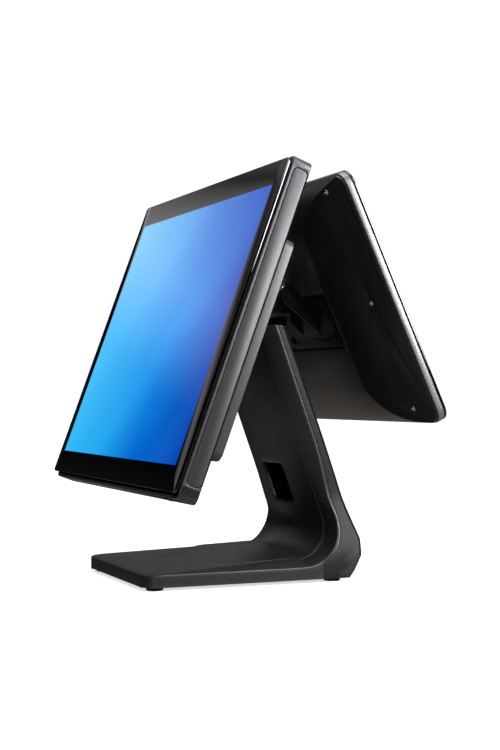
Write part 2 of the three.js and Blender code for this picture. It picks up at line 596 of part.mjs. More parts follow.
function makeHingeBracket() {
  const { front, rear, bottom, top, halfWidth, lip, lipDrop } = SHELF;
  const shelf = box(-halfWidth, halfWidth, front, rear, bottom, top);
  const edge = box(-halfWidth, halfWidth, rear - lip, rear, bottom - lipDrop, top);
  const mainLugs = pairOfEyes(MAIN_LUG, MAIN_PIVOT.y, MAIN_PIVOT.z, [
    [92, top - 1],
    [112, top - 1],
    [MAIN_PIVOT.y + MAIN_LUG.shoulder, MAIN_PIVOT.z],
    [MAIN_PIVOT.y - MAIN_LUG.shoulder, MAIN_PIVOT.z],
  ]);
  const displayLugs = pairOfEyes(DISPLAY_LUG, DISPLAY_PIVOT.y, DISPLAY_PIVOT.z, [
    [128, top - 1],
    [rear - 0.5, top - 1],
    [DISPLAY_PIVOT.y + DISPLAY_LUG.shoulder, DISPLAY_PIVOT.z],
    [DISPLAY_PIVOT.y - DISPLAY_LUG.shoulder, DISPLAY_PIVOT.z],
  ]);
  const mainBore = eyeBore(MAIN_SHAFT_RADIUS, MAIN_PIVOT.y, MAIN_PIVOT.z);
  const displayBore = eyeBore(DISPLAY_SHAFT_RADIUS, DISPLAY_PIVOT.y, DISPLAY_PIVOT.z);
  return cut(join(shelf, edge, makeStem(), ...mainLugs, ...displayLugs), mainBore, displayBore);
}

function ring(outerRadius, boreRadius, x0, x1, segments) {
  const body = rodAlongX(outerRadius, x0, x1, 0, 0, segments);
  return cut(body, rodAlongX(boreRadius, x0 - OVERCUT, x1 + OVERCUT, 0, 0));
}

function addHinges(parent) {
  piece(parent, 'neck_hinge_bracket', makeHingeBracket(), 'blackSteel');
  SHAFTS.forEach(({ name, pivot, radius, end, nut, nutRadius }) => {
    const shaft = rodAlongX(radius, -end, end, 0, 0);
    piece(parent, `${name}_tilt_shaft`, shaft, 'chrome').position.set(0, pivot.y, pivot.z);
    SIDES.forEach(([side, sign]) => {
      const [x0, x1] = sortedPair(sign * nut, sign * (nut + NUT_WIDTH));
      const hexagon = ring(nutRadius, radius + GAP, x0, x1, NUT_SIDES);
      piece(parent, `${name}_shaft_nut_${side}`, hexagon, 'chrome').position.set(0, pivot.y, pivot.z);
    });
  });
  SIDES.forEach(([side, sign]) => {
    const [x0, x1] = sortedPair(sign * (MAIN_LUG.outer + GAP), sign * (MAIN_EAR.inner - GAP));
    const washer = ring(WASHER_RADIUS, MAIN_SHAFT_RADIUS + GAP, x0, x1, ROUND_STEPS);
    piece(parent, `friction_washer_${side}`, washer, 'steel').position.set(0, MAIN_PIVOT.y, MAIN_PIVOT.z);
  });
}

// ---------------------------------------------------------------- cashier's head

function makeMainHousing() {
  const half = MAIN_WIDTH / 2;
  const { bottom, top, front, back, wall, sideWall, radius } = MAIN_HOUSING;
  const body = slabAlongY(roundedRectangle(-half, half, bottom, top, radius), front, back);
  const innerHalf = half - sideWall;
  const hollowShape = roundedRectangle(-innerHalf, innerHalf, bottom + wall, top - wall, radius - 2);
  const hollow = slabAlongY(hollowShape, front - OVERCUT, back - wall);
  const { halfWidth: windowHalf, bottom: windowBottom, top: windowTop } = HOUSING_WINDOW;
  const window = box(-windowHalf, windowHalf, back - wall - OVERCUT, back + OVERCUT, windowBottom, windowTop);
  const recesses = [-1, 1].map((sign) => {
    const depth = SIDE_COVER.thickness + GAP;
    const shape = roundedRectangle(SIDE_COVER.front - GAP, SIDE_COVER.back + GAP,
      SIDE_COVER.bottom - GAP, SIDE_COVER.top + GAP, SIDE_COVER.radius);
    return sign > 0 ? slabAlongX(shape, half - depth, half + 2) : slabAlongX(shape, -half - 2, -half + depth);
  });
  const buttonHole = slabAlongZ(roundedRectangle(
    POWER_BUTTON.x - POWER_BUTTON.width / 2 - GAP, POWER_BUTTON.x + POWER_BUTTON.width / 2 + GAP,
    POWER_BUTTON.y - POWER_BUTTON.depth / 2 - GAP, POWER_BUTTON.y + POWER_BUTTON.depth / 2 + GAP, 2), -10, 0);
  return cut(body, hollow, window, ...recesses, buttonHole);
}

function makeSideCover(sign) {
  const half = MAIN_WIDTH / 2;
  const shape = roundedRectangle(SIDE_COVER.front, SIDE_COVER.back, SIDE_COVER.bottom, SIDE_COVER.top,
    SIDE_COVER.radius);
  return sign > 0
    ? slabAlongX(shape, half - SIDE_COVER.thickness, half)
    : slabAlongX(shape, -half, -half + SIDE_COVER.thickness);
}

const evenlySpaced = ({ count, pitch }) => (
  Array.from({ length: count }, (_, i) => (i - (count - 1) / 2) * pitch));

function makeModuleHousing() {
  const { halfWidth, bottom, top, back, wall, radius } = MODULE;
  const front = MAIN_HOUSING.back + GAP;
  const body = slabAlongY(roundedRectangle(-halfWidth, halfWidth, bottom, top, radius), front, back);
  const innerHalf = halfWidth - wall;
  const hollowShape = roundedRectangle(-innerHalf, innerHalf, bottom + wall, top - wall, radius - wall);
  const hollow = slabAlongY(hollowShape, front - OVERCUT, back - wall);
  const portWindow = box(-PORT_WINDOW_HALF, PORT_WINDOW_HALF, front + 1, back - wall - 0.8,
    bottom - OVERCUT, bottom + wall + OVERCUT);
  const low = back - wall - OVERCUT;
  const high = back + OVERCUT;
  const bores = HEAD_SCREWS.map(([x, z]) => rodAlongY(CLEARANCE_RADIUS, low, high, x, z));
  const vents = evenlySpaced(VENT).map((x) => (
    box(x - VENT.halfWidth, x + VENT.halfWidth, low, high, VENT.bottom, VENT.top)));
  return cut(body, hollow, portWindow, ...bores, ...vents);
}

function makeHeatsink() {
  const { halfWidth, front, base, back, bottom, top } = HEATSINK;
  const fins = evenlySpaced(FIN).reverse().flatMap((x) => [
    [x + FIN.root, base],
    [x + FIN.tip, back],
    [x - FIN.tip, back],
    [x - FIN.root, base],
  ]);
  fins[0] = [halfWidth, base];
  fins[fins.length - 1] = [-halfWidth, base];
  return slabAlongZ(outline([[-halfWidth, front], [halfWidth, front], ...fins]), bottom, top);
}

function makePortBlock() {
  const body = join(box(-70, 70, 21.6, 29.2, 36.8, 50), box(-64, 64, 22.6, 28.4, 34.3, 38));
  const { halfWidth, front, back, bottom, top } = SOCKET;
  const openings = evenlySpaced(SOCKET).map((x) => (
    box(x - halfWidth, x + halfWidth, front, back, bottom, top)));
  return cut(body, ...openings);
}

function makeHeadPlate() {
  const { halfWidth, bottom, top, radius, front, back } = HEAD_PLATE;
  const plate = slabAlongY(roundedRectangle(-halfWidth, halfWidth, bottom, top, radius), front, back);
  const ears = pairOfEyes(MAIN_EAR, MAIN_PIVOT_DEPTH, MAIN_PIVOT_HEIGHT, [
    [back - 0.5, MAIN_EAR.top],
    [back - 0.5, MAIN_EAR.bottom],
    [MAIN_PIVOT_DEPTH, MAIN_PIVOT_HEIGHT - MAIN_EAR.shoulder],
    [MAIN_PIVOT_DEPTH, MAIN_PIVOT_HEIGHT + MAIN_EAR.shoulder],
  ]);
  const bore = eyeBore(MAIN_SHAFT_RADIUS, MAIN_PIVOT_DEPTH, MAIN_PIVOT_HEIGHT);
  const holes = HEAD_SCREWS.map(([x, z]) => (
    rodAlongY(CLEARANCE_RADIUS, front - OVERCUT, back + OVERCUT, x, z)));
  return cut(join(plate, ...ears), bore, ...holes);
}

function makePowerButton() {
  const { x, y, width, depth, radius, proud, inner } = POWER_BUTTON;
  const face = roundedRectangle(x - width / 2, x + width / 2, y - depth / 2, y + depth / 2, radius);
  const cap = slabAlongZ(face, MAIN_HOUSING.bottom - proud, inner);
  const { halfWidth, halfDepth, top } = BUTTON_FLANGE;
  const flange = box(x - halfWidth, x + halfWidth, y - halfDepth, y + halfDepth,
    MAIN_HOUSING.bottom + MAIN_HOUSING.wall + GAP, top);
  return join(cap, flange);
}

function addMainHead(parent) {
  const pivot = new THREE.Group();
  pivot.position.set(0, MAIN_PIVOT.y, MAIN_PIVOT.z);
  pivot.rotation.x = -MAIN_TILT;
  parent.add(pivot);
  const head = new THREE.Group();
  head.position.set(0, -MAIN_PIVOT_DEPTH, -MAIN_PIVOT_HEIGHT);
  pivot.add(head);

  const half = MAIN_WIDTH / 2;
  const glass = slabAlongY(roundedRectangle(-half, half, 0, MAIN_HEIGHT, 3), 0, MAIN_GLASS);
  piece(head, 'main_touch_glass', glass, 'glass');
  const gasket = roundedRectangle(-half + 2, half - 2, 2, MAIN_HEIGHT - 2, 3);
  gasket.holes.push(roundedRectangle(-half + 6, half - 6, 7, MAIN_HEIGHT - 7, 2));
  const gasketBody = slabAlongY(gasket, MAIN_GLASS + GAP, MAIN_HOUSING.front - GAP, 3);
  piece(head, 'main_glass_gasket', gasketBody, 'rubber');
  const lcd = MAIN_LCD;
  const panel = box(-lcd.halfWidth, lcd.halfWidth, lcd.front, lcd.back, lcd.bottom, lcd.top);
  piece(head, 'main_lcd_panel', panel, 'screen');
  const chassisFront = lcd.back + CHASSIS.gap;
  const chassis = box(-lcd.halfWidth, lcd.halfWidth, chassisFront, chassisFront + CHASSIS.thickness,
    lcd.bottom, lcd.top);
  piece(head, 'main_chassis_plate', chassis, 'steel');
  piece(head, 'main_rear_housing', makeMainHousing(), 'housing');
  piece(head, 'side_cover_left', makeSideCover(-1), 'housing');
  piece(head, 'side_cover_right', makeSideCover(1), 'housing');
  piece(head, 'module_housing', makeModuleHousing(), 'housing');
  const board = MAIN_BOARD;
  const boardBody = box(-board.halfWidth, board.halfWidth, board.front, board.back, board.bottom, board.top);
  piece(head, 'main_board', boardBody, 'board');
  piece(head, 'cpu_heatsink', makeHeatsink(), 'aluminium');
  const driveBody = box(DRIVE.left, DRIVE.right, DRIVE.front, DRIVE.back, DRIVE.bottom, DRIVE.top);
  piece(head, 'storage_drive', driveBody, 'aluminium');
  SIDES.forEach(([side, sign]) => {
    const [x0, x1] = sortedPair(sign * SPEAKER.inner, sign * SPEAKER.outer);
    const face = roundedRectangle(x0, x1, SPEAKER.bottom, SPEAKER.top, SPEAKER.radius);
    piece(head, `speaker_${side}`, slabAlongY(face, SPEAKER.front, SPEAKER.back, 3), 'rubber');
  });
  piece(head, 'io_port_block', makePortBlock(), 'steel');
  piece(head, 'head_hinge_plate', makeHeadPlate(), 'blackSteel');
  HEAD_SCREWS.forEach(([x, z], index) => {
    const mesh = piece(head, `head_screw_${index + 1}`, screw(PLATE_SCREW), 'steel');
    mesh.position.set(x, HEAD_PLATE.back + GAP - PLATE_SCREW.length, z);
  });
  piece(head, 'power_button', makePowerButton(), 'gloss');
}

// ---------------------------------------------------------------- customer's head

// The shell is a long ridge seen from the side and a flat-topped wedge seen from above.
function shellBody(wall) {
  const back = DISPLAY_SHELL_BACK - wall;
  const rim = SHELL_RIM - wall;
  const front = SHELL_FRONT - (wall > 0 ? 2 * DISPLAY_SHELL_WALL : 0);
  const low = SHELL_MARGIN + wall;
  const high = DISPLAY_HEIGHT - SHELL_MARGIN - wall;
  const side = new THREE.Shape();
  side.moveTo(front, low);
  side.lineTo(rim, low);
  side.quadraticCurveTo(back - 4, 3.2 + wall, back, DISPLAY_FLAT.bottom + wall);
  side.lineTo(back, DISPLAY_FLAT.top);
  side.quadraticCurveTo(back, 205.2, rim, high);
  side.lineTo(front, high);
  const half = SHELL_HALF_WIDTH - wall;
  const above = outline([
    [-half, front],
    [half, front],
    [half, rim],
    [DISPLAY_FLAT.halfWidth, back],
    [-DISPLAY_FLAT.halfWidth, back],
    [-half, rim],
  ]);
  const face = roundedRectangle(-half, half, low, high, DISPLAY_RADIUS - 0.5 - wall / 2);
  return common(
    slabAlongX(side, -half - OVERCUT, half + OVERCUT, SHELL_CURVE_STEPS),
    slabAlongZ(above, 0, DISPLAY_HEIGHT),
    slabAlongY(face, front - OVERCUT, back + OVERCUT));
}

function makeShell() {
  const { halfWidth, bottom, top, floor } = DISPLAY_RECESS;
  const wall = DISPLAY_SHELL_WALL;
  const outside = DISPLAY_SHELL_BACK + OVERCUT;
  const recess = box(-halfWidth, halfWidth, floor, outside, bottom, top);
  const tray = box(-halfWidth - wall, halfWidth + wall, floor - wall, outside, bottom - wall, top + wall);
  const hollow = cut(shellBody(wall), tray);
  const plateBores = PLATE_SCREWS.map(([x, z]) => (
    rodAlongY(CLEARANCE_RADIUS, SHELL_SCREW_SEAT, outside, x, z)));
  const shellBores = SHELL_SCREWS.map(([x, z]) => rodAlongY(SHELL_BORE_RADIUS, 0, outside, x, z, 12));
  const seats = SHELL_SCREWS.map(([x, z]) => (
    rodAlongY(SHELL_SEAT_RADIUS, SHELL_SCREW_SEAT, outside, x, z, 14)));
  return cut(shellBody(0), hollow, recess, ...plateBores, ...shellBores, ...seats);
}

function makeDisplayFrame() {
  const half = DISPLAY_WIDTH / 2;
  const front = DISPLAY_GLASS + GAP;
  const { lip, radius, floor } = FRAME_WELL;
  const face = roundedRectangle(-half, half, 0, DISPLAY_HEIGHT, DISPLAY_RADIUS);
  const body = slabAlongY(face, front, DISPLAY_FRAME_BACK);
  const wellShape = roundedRectangle(-half + lip, half - lip, lip, DISPLAY_HEIGHT - lip, radius);
  const well = slabAlongY(wellShape, front - OVERCUT, floor);
  const { halfWidth, bottom, top } = FRAME_WINDOW;
  const window = box(-halfWidth, halfWidth, 0, DISPLAY_FRAME_BACK + OVERCUT, bottom, top);
  const bores = SHELL_SCREWS.map(([x, z]) => (
    rodAlongY(SHELL_BORE_RADIUS, 0, DISPLAY_FRAME_BACK + OVERCUT, x, z, 12)));
  return cut(body, well, window, ...bores);
}

function makeDisplayPlate() {
  const { halfWidth, bottom, top, radius, front, back } = DISPLAY_PLATE;
  const plate = slabAlongY(roundedRectangle(-halfWidth, halfWidth, bottom, top, radius), front, back);
  const ears = pairOfEyes(DISPLAY_EAR, DISPLAY_PIVOT_DEPTH, DISPLAY_PIVOT_HEIGHT, [
    [back - 0.5, DISPLAY_EAR.top],
    [back - 0.5, DISPLAY_EAR.bottom],
    [DISPLAY_PIVOT_DEPTH + DISPLAY_EAR.across, DISPLAY_PIVOT_HEIGHT - DISPLAY_EAR.along],
    [DISPLAY_PIVOT_DEPTH - DISPLAY_EAR.across, DISPLAY_PIVOT_HEIGHT + DISPLAY_EAR.along],
  ]);
  const bore = eyeBore(DISPLAY_SHAFT_RADIUS, DISPLAY_PIVOT_DEPTH, DISPLAY_PIVOT_HEIGHT);
  const holes = PLATE_SCREWS.map(([x, z]) => (
    rodAlongY(CLEARANCE_RADIUS, front - OVERCUT, back + OVERCUT, x, z)));
  return cut(join(plate, ...ears), bore, ...holes);
}

function addCustomerHead(parent) {
  const pivot = new THREE.Group();
  pivot.position.set(0, DISPLAY_PIVOT.y, DISPLAY_PIVOT.z);
  pivot.rotation.set(DISPLAY_TILT, 0, Math.PI);
  parent.add(pivot);
  const head = new THREE.Group();
  head.position.set(0, -DISPLAY_PIVOT_DEPTH, -DISPLAY_PIVOT_HEIGHT);
  pivot.add(head);

  const half = DISPLAY_WIDTH / 2;
  const face = roundedRectangle(-half, half, 0, DISPLAY_HEIGHT, DISPLAY_RADIUS);
  const glass = slabAlongY(face, 0, DISPLAY_GLASS);
  piece(head, 'customer_glass', glass, 'glass');
  const lcd = DISPLAY_LCD;
  const panel = box(-lcd.halfWidth, lcd.halfWidth, lcd.front, lcd.back, lcd.bottom, lcd.top);
  piece(head, 'customer_lcd_panel', panel, 'screen');
  piece(head, 'customer_bezel_frame', makeDisplayFrame(), 'gloss');
  piece(head, 'customer_rear_shell', makeShell(), 'gloss');
  const board = DISPLAY_BOARD;
  const boardBody = box(-board.halfWidth, board.halfWidth, board.front, board.back, board.bottom, board.top);
  piece(head, 'customer_driver_board', boardBody, 'board');
  piece(head, 'customer_hinge_plate', makeDisplayPlate(), 'blackSteel');
  PLATE_SCREWS.forEach(([x, z], index) => {
    const mesh = piece(head, `plate_screw_${index + 1}`, screw(PLATE_SCREW), 'steel');
    mesh.position.set(x, DISPLAY_PLATE.back + GAP - PLATE_SCREW.length, z);
  });
  SHELL_SCREWS.forEach(([x, z], index) => {
    const mesh = piece(head, `shell_screw_${index + 1}`, screw(SHELL_SCREW), 'chrome');
    mesh.position.set(x, SHELL_SCREW_SEAT + GAP - SHELL_SCREW.length, z);
  });
}

// ---------------------------------------------------------------- assembly

const terminal = new THREE.Group();
addStand(terminal);
addHinges(terminal);
addMainHead(terminal);
addCustomerHead(terminal);

// The origin is at the bottom centre of the whole terminal's box.
terminal.updateMatrixWorld(true);
const bounds = new THREE.Box3().setFromObject(terminal, true);
terminal.position.y = -(bounds.min.y + bounds.max.y) / 2;

export default terminal;
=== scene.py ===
"""Looks of a counter-top point-of-sale terminal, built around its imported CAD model.

Lengths in the modelling code are millimetres; MM turns them into Blender's metres.
"""

import math
from types import SimpleNamespace as Sizes

import bmesh
import bpy
from mathutils import Matrix, Vector


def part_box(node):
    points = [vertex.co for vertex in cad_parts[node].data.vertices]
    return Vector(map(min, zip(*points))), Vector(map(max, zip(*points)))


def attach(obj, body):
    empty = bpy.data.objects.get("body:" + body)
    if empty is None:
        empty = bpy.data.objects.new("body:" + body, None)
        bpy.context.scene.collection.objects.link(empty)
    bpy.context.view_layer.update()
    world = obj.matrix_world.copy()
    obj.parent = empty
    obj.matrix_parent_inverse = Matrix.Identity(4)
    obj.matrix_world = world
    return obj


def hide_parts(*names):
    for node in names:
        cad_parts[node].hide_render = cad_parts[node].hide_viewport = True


MM = 0.001
GAP = 0.3  # clearance between neighbouring pieces
OVERCUT = 1  # how far cutting tools reach past a face
BEHIND = 40  # a depth behind everything in either head
SIDES = ("left", "right")

# Screws: shank radius, shank length, head radius, head height.
BASE_SCREW = (1.5, 7, 2.8, 1.4)
COVER_SCREW = (1.5, 12, 3.4, 1.6)
PLATE_SCREW = (1.8, 9, 3.4, 1.8)
SHELL_SCREW = (1.2, 7, 2.4, 1.2)

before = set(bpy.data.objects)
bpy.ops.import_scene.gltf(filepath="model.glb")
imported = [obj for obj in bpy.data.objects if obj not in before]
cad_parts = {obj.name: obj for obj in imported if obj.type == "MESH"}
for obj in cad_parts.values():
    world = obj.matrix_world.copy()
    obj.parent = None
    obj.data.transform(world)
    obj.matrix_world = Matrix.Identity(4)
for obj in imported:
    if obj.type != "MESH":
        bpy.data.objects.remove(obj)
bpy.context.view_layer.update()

# ---- driving dimensions

# Stand: Y from the base's front edge, Z from the table.
BASE_HALF_WIDTH = 80
BASE_BOTTOM = 3
BASE_SIDE_TOP = 13.2
BASE_FRONT_TOP = 12.2
BASE_FRONT_BEVEL = 3.5
BASE_TOP_START = 14.2
BASE_TOP_SLOPE = 0.04
BASE_CORNER_RADIUS = 13
BASE_WALL = 4
SEAM_Y = 156.8
SEAM_TOP = 18
ELBOW_Y = 140
ELBOW_Z = 46.5
ELBOW_RADIUS = 28
NECK_LEAN = math.radians(20)
NECK_TOP = 215
NECK_HALF_WIDTH = 66.2
NECK_FRONT_HALF_WIDTH = 57
CROWN = 8
TONGUE_START = 28
TONGUE_END = 92
TONGUE_HALF_WIDTH = 63
NECK_TONGUE_HALF_WIDTH = 54
CASTING_WALL = 3
COVER_WALL = 2.5
NECK_CHAMFER_DEPTH = 9.5
ELBOW_CHAMFER_DEPTH = 4.8
CASTING_BACK = 2  # how far the casting's sides run back behind the ridge
SEAM_ANGLE = -0.65  # where the seam leaves the elbow's arc, in radians from level
BASE_MARGIN = Sizes(front=4, rear=10.5)  # width of the sloping strip beside the base's top
NECK_FRONT_FLARE = 3
CROWN_STEPS = 12
TONGUE_GROOVE = 0.7
ELBOW_STEPS = 30
SIDE_ROWS = 4
NECK_LEVELS = [62, 68, 75, 85, 95, 105, 115, 140, 165, 190, 205, NECK_TOP - 1, NECK_TOP]
BRACKET_SLOT = Sizes(half=41, front=111.2, back=117.4, depth=10)
BASE_PILOT = Sizes(radius=1.9, top=11.5)
POST_HALF_WIDTH = 4
FLARE_BOTTOM = 18
FLARE_TOP = 75
CABLE_HOLE = Sizes(width=44, height=36, radius=5, z=82.5, through=40)
COVER_BULGE = 5
COVER_EDGE = 6
COVER_TOP_RADIUS = 3.2
COVER_TOP_STEPS = 6
COVER_BACK = [(190.4, 34.5), (175, 80.4), (160.7, 121), (125.1, NECK_TOP)]
COVER_LEVELS = (68, 75, 85, 95, 105, 115, 130, 150, 170, 190)
COVER_LID = Sizes(front=118.4, back_low=127, back_high=125.5)
COVER_SEAT_RADIUS = 4
CABLE_EXIT = Sizes(half=20, bottom=67, top=97, radius=5, front=165, back=200)
FEET = Sizes(front=12, rear=170, x=68)
BASE_SCREWS = [(-62, 22), (62, 22), (-62, 142), (62, 142)]
COVER_SCREW_X = (-40, 40)
COVER_SCREW_Z = 140
COVER_SCREW_SEAT = 156.9

# Cashier's head: X across, Y behind the glass face, Z up along the glass.
MAIN_TILT = math.radians(20.25)
MAIN_HALF_WIDTH = 165.7
MAIN_HEIGHT = 270
MAIN_GLASS = 3
HOUSING = Sizes(bottom=-3.8, top=273.6, front=4.8, back=20.9, wall=2.5, side=4)
CORNER_CAP = Sizes(width=12, height=11)
SIDE_COVER = Sizes(bottom=9, top=265, front=7.8, back=19.6, depth=1.2, radius=4)
HOUSING_RADIUS = 5
HOUSING_WINDOW = Sizes(half=120, bottom=50, top=198)  # opens the housing into the module
MODULE = Sizes(half=155.7, bottom=34, top=214, front=21.2, back=32, wall=2.2)
MODULE_RADIUS = 7
PORT_HALF_WIDTH = 66
SCREEN = Sizes(half=152.05, bottom=20.4, top=248.5)
POWER_BUTTON = Sizes(x=128, y=12.5, width=11, depth=5, radius=1.8, proud=1, inner=1.5)
BUTTON_FLANGE = Sizes(half=8, depth=3.6, bottom=-1, top=0.2)
HEAD_SCREWS = [(-37.5, 158), (37.5, 158), (-37.5, 202), (37.5, 202)]
HEAD_SCREW_TIP = 26.1
VENT = Sizes(count=11, pitch=11, half=2, radius=1.9, bottom=70, top=120)

# Customer's head, in the same local axes.
DISPLAY_TILT = math.radians(24.56)
DISPLAY_HALF_WIDTH = 135
DISPLAY_HEIGHT = 221.6
DISPLAY_RADIUS = 12
DISPLAY_GLASS = 2.2
DISPLAY_SCREEN = Sizes(half=123, bottom=18.5, top=203)
DISPLAY_FRAME_BACK = 8.2
DISPLAY_SHELL_BACK = 27.2
DISPLAY_FLAT = Sizes(half=62, bottom=39.6, top=171.2)
DISPLAY_RECESS = Sizes(half=58, bottom=78, top=129, floor=23.7)
DISPLAY_SLOT = Sizes(left=-14, right=-10, bottom=84, top=122, radius=1.9, floor=21)
DISPLAY_EDGE_STEPS = 12
FRAME_WELL = Sizes(lip=3.5, radius=9, floor=7)
FRAME_WINDOW = Sizes(half=98, bottom=30, top=190)
SHELL_MARGIN = 0.8  # the shell stands this far inside the band's top and bottom
SHELL_SIDE_MARGIN = 1.5
SHELL_RIM = 0.7
SHELL_EDGE = 2.2
SHELL_SEAT_RADIUS = 2.9
SHELL_SCREWS = [(109, 210), (109, 111.6), (109, 16), (-109, 210), (-109, 111.6), (-109, 16)]
SHELL_SCREW_SEAT = 14.2
PLATE_SCREWS = [(-42, 88), (42, 88), (-42, 119), (42, 119)]
PLATE_SCREW_TIP = 17.8

# Camera: found from the known sizes of the screens. Position in metres, angles in degrees.
CAMERA_POSITION = (1.15627, -0.48551, 0.158)
CAMERA_YAW = 67.02
CAMERA_RISE = 0.73
CAMERA_LENS = 68.69
CAMERA_SENSOR = 36

# The sky's colour at each sine of the elevation.
SKY_STOPS = [(-1, (0.36, 0.33, 0.31)), (-0.42, (0.36, 0.33, 0.30)), (-0.25, (0.06, 0.055, 0.05)),
             (-0.1, (0.02,) * 3), (0.22, (0,) * 3), (0.28, (0.55,) * 3), (0.33, (0.35,) * 3),
             (0.4, (0.05,) * 3), (0.6, (0.5,) * 3), (1, (0.9,) * 3)]


# ---- the units: where each one is drawn, and the body it moves with

def stand_place():
    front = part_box("stand_casting")[0].y
    return Matrix.Translation((0, front, 0))


def head_place(glass, tilt, thickness, facing):
    """Local axes of a head. facing is -1 for a glass that faces -Y and 1 for one that faces +Y."""
    low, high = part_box(glass)
    edge = low.y if facing < 0 else high.y
    origin = Vector((0, edge, low.z + thickness * MM * math.sin(tilt)))
    across = Vector((-facing, 0, 0))
    depth = Vector((0, -facing * math.cos(tilt), -math.sin(tilt)))
    up = Vector((0, -facing * math.sin(tilt), math.cos(tilt)))
    axes = Matrix((across, depth, up)).transposed()
    return Matrix.Translation(origin) @ axes.to_4x4()


STAND = (stand_place(), "stand")
MAIN = (head_place("main_touch_glass", MAIN_TILT, MAIN_GLASS, -1), "main_head")
CUSTOMER = (head_place("customer_glass", DISPLAY_TILT, DISPLAY_GLASS, 1), "customer_head")
BUTTON_UNIT = (MAIN[0], "power_button")


# ---- shader helpers

def fill_ramp(ramp, stops):
    """Sets a colour ramp from stops of (position, colour)."""
    while len(ramp.elements) < len(stops):
        ramp.elements.new(0.5)
    for element, (position, colour) in zip(ramp.elements, stops):
        element.position = position
        element.color = (*colour, 1)


class Shader:
    """A material's node tree with one Principled shader and short ways to add nodes."""

    def __init__(self, name, **inputs):
        self.material = bpy.data.materials.new(name)
        self.material.use_nodes = True
        self.tree = self.material.node_tree
        self.bsdf = self.tree.nodes["Principled BSDF"]
        for key, value in inputs.items():
            self.bsdf.inputs[key.replace("_", " ")].default_value = value

    def node(self, kind, **inputs):
        made = self.tree.nodes.new(kind)
        for key, value in inputs.items():
            made.inputs[key.replace("_", " ")].default_value = value
        return made

    def link(self, source, target):
        self.tree.links.new(source, target)

    def coordinates(self, stretch=(1, 1, 1)):
        place = self.node("ShaderNodeTexCoord")
        mapping = self.node("ShaderNodeMapping", Scale=stretch)
        self.link(place.outputs["Object"], mapping.inputs["Vector"])
        return mapping.outputs["Vector"]

    def noise(self, size_mm, detail=2.0, rough=0.5, stretch=(1, 1, 1)):
        """A noise from 0 to 1 whose features are about size_mm across."""
        texture = self.node("ShaderNodeTexNoise", Scale=1 / (size_mm * MM), Detail=detail, Roughness=rough)
        self.link(self.coordinates(stretch), texture.inputs["Vector"])
        return texture.outputs["Fac"]

    def ramp(self, value, stops):
        """A colour ramp from stops of (position, colour)."""
        made = self.node("ShaderNodeValToRGB")
        self.link(value, made.inputs["Fac"])
        fill_ramp(made.color_ramp, stops)
        return made.outputs["Color"]

    def spread(self, value, low, high):
        """Maps a 0 to 1 value to low to high."""
        made = self.node("ShaderNodeMapRange", To_Min=low, To_Max=high)
        self.link(value, made.inputs["Value"])
        return made.outputs["Result"]

    def mix(self, factor, first, second, blend="MIX"):
        """Mixes two colours. A Mix node keeps its colour sockets after those for numbers and vectors."""
        made = self.tree.nodes.new("ShaderNodeMix")
        made.data_type = "RGBA"
        made.blend_type = blend
        factor_socket, first_socket, second_socket = made.inputs[0], made.inputs[6], made.inputs[7]
        for socket, value in ((factor_socket, factor), (first_socket, first), (second_socket, second)):
            if isinstance(value, bpy.types.NodeSocket):
                self.link(value, socket)
            elif isinstance(value, tuple):
                socket.default_value = (*value, 1)
            else:
                socket.default_value = value
        return made.outputs[2]

    def window(self, value, low, high):
        """Maps low to high to 0 to 1, and holds the ends."""
        made = self.node("ShaderNodeMapRange", From_Min=low, From_Max=high)
        self.link(value, made.inputs["Value"])
        return made.outputs["Result"]

    def edges(self, low=0.51, high=0.6):
        """1 on convex edges and 0 on flat faces."""
        geometry = self.node("ShaderNodeNewGeometry")
        return self.window(geometry.outputs["Pointiness"], low, high)

    def bump(self, height, distance_mm, strength=1.0):
        made = self.node("ShaderNodeBump", Strength=strength, Distance=distance_mm * MM)
        self.link(height, made.inputs["Height"])
        self.link(made.outputs["Normal"], self.bsdf.inputs["Normal"])

    def colour(self, socket):
        self.link(socket, self.bsdf.inputs["Base Color"])

    def roughness(self, socket):
        self.link(socket, self.bsdf.inputs["Roughness"])


def textured_finish(name, dark, light, worn, rough, grain_mm, grain_depth, metallic=0.0, specular=0.5):
    """A moulded or coated surface: cloudy colour, fine grain, and paler worn edges."""
    shader = Shader(name, Metallic=metallic, Specular_IOR_Level=specular)
    clouds = shader.noise(38, 3)
    base = shader.ramp(clouds, [(0.3, dark), (0.7, light)])
    shader.colour(shader.mix(shader.edges(), base, worn))
    grain = shader.noise(grain_mm, 3, 0.6)
    shader.roughness(shader.spread(grain, rough - 0.06, rough + 0.08))
    shader.bump(grain, grain_depth, 0.6)
    return shader.material


def casting_finish():
    """Powder-coated cast aluminium with a fine sparkle."""
    shader = Shader("powder_coat", Specular_IOR_Level=0.65)
    clouds = shader.noise(45, 3)
    base = shader.ramp(clouds, [(0.3, (0.006, 0.0054, 0.005)), (0.7, (0.0095, 0.0086, 0.008))])
    flakes = shader.noise(0.6, 1, 0.4)
    sparkle = shader.ramp(flakes, [(0.58, (0, 0, 0)), (0.7, (0.04, 0.04, 0.044))])
    speckled = shader.mix(1.0, base, sparkle, "ADD")
    shader.colour(shader.mix(shader.edges(), speckled, (0.03, 0.029, 0.029)))
    grain = shader.noise(0.9, 3, 0.6)
    shader.roughness(shader.spread(grain, 0.36, 0.5))
    shader.bump(grain, 0.05, 0.5)
    return shader.material


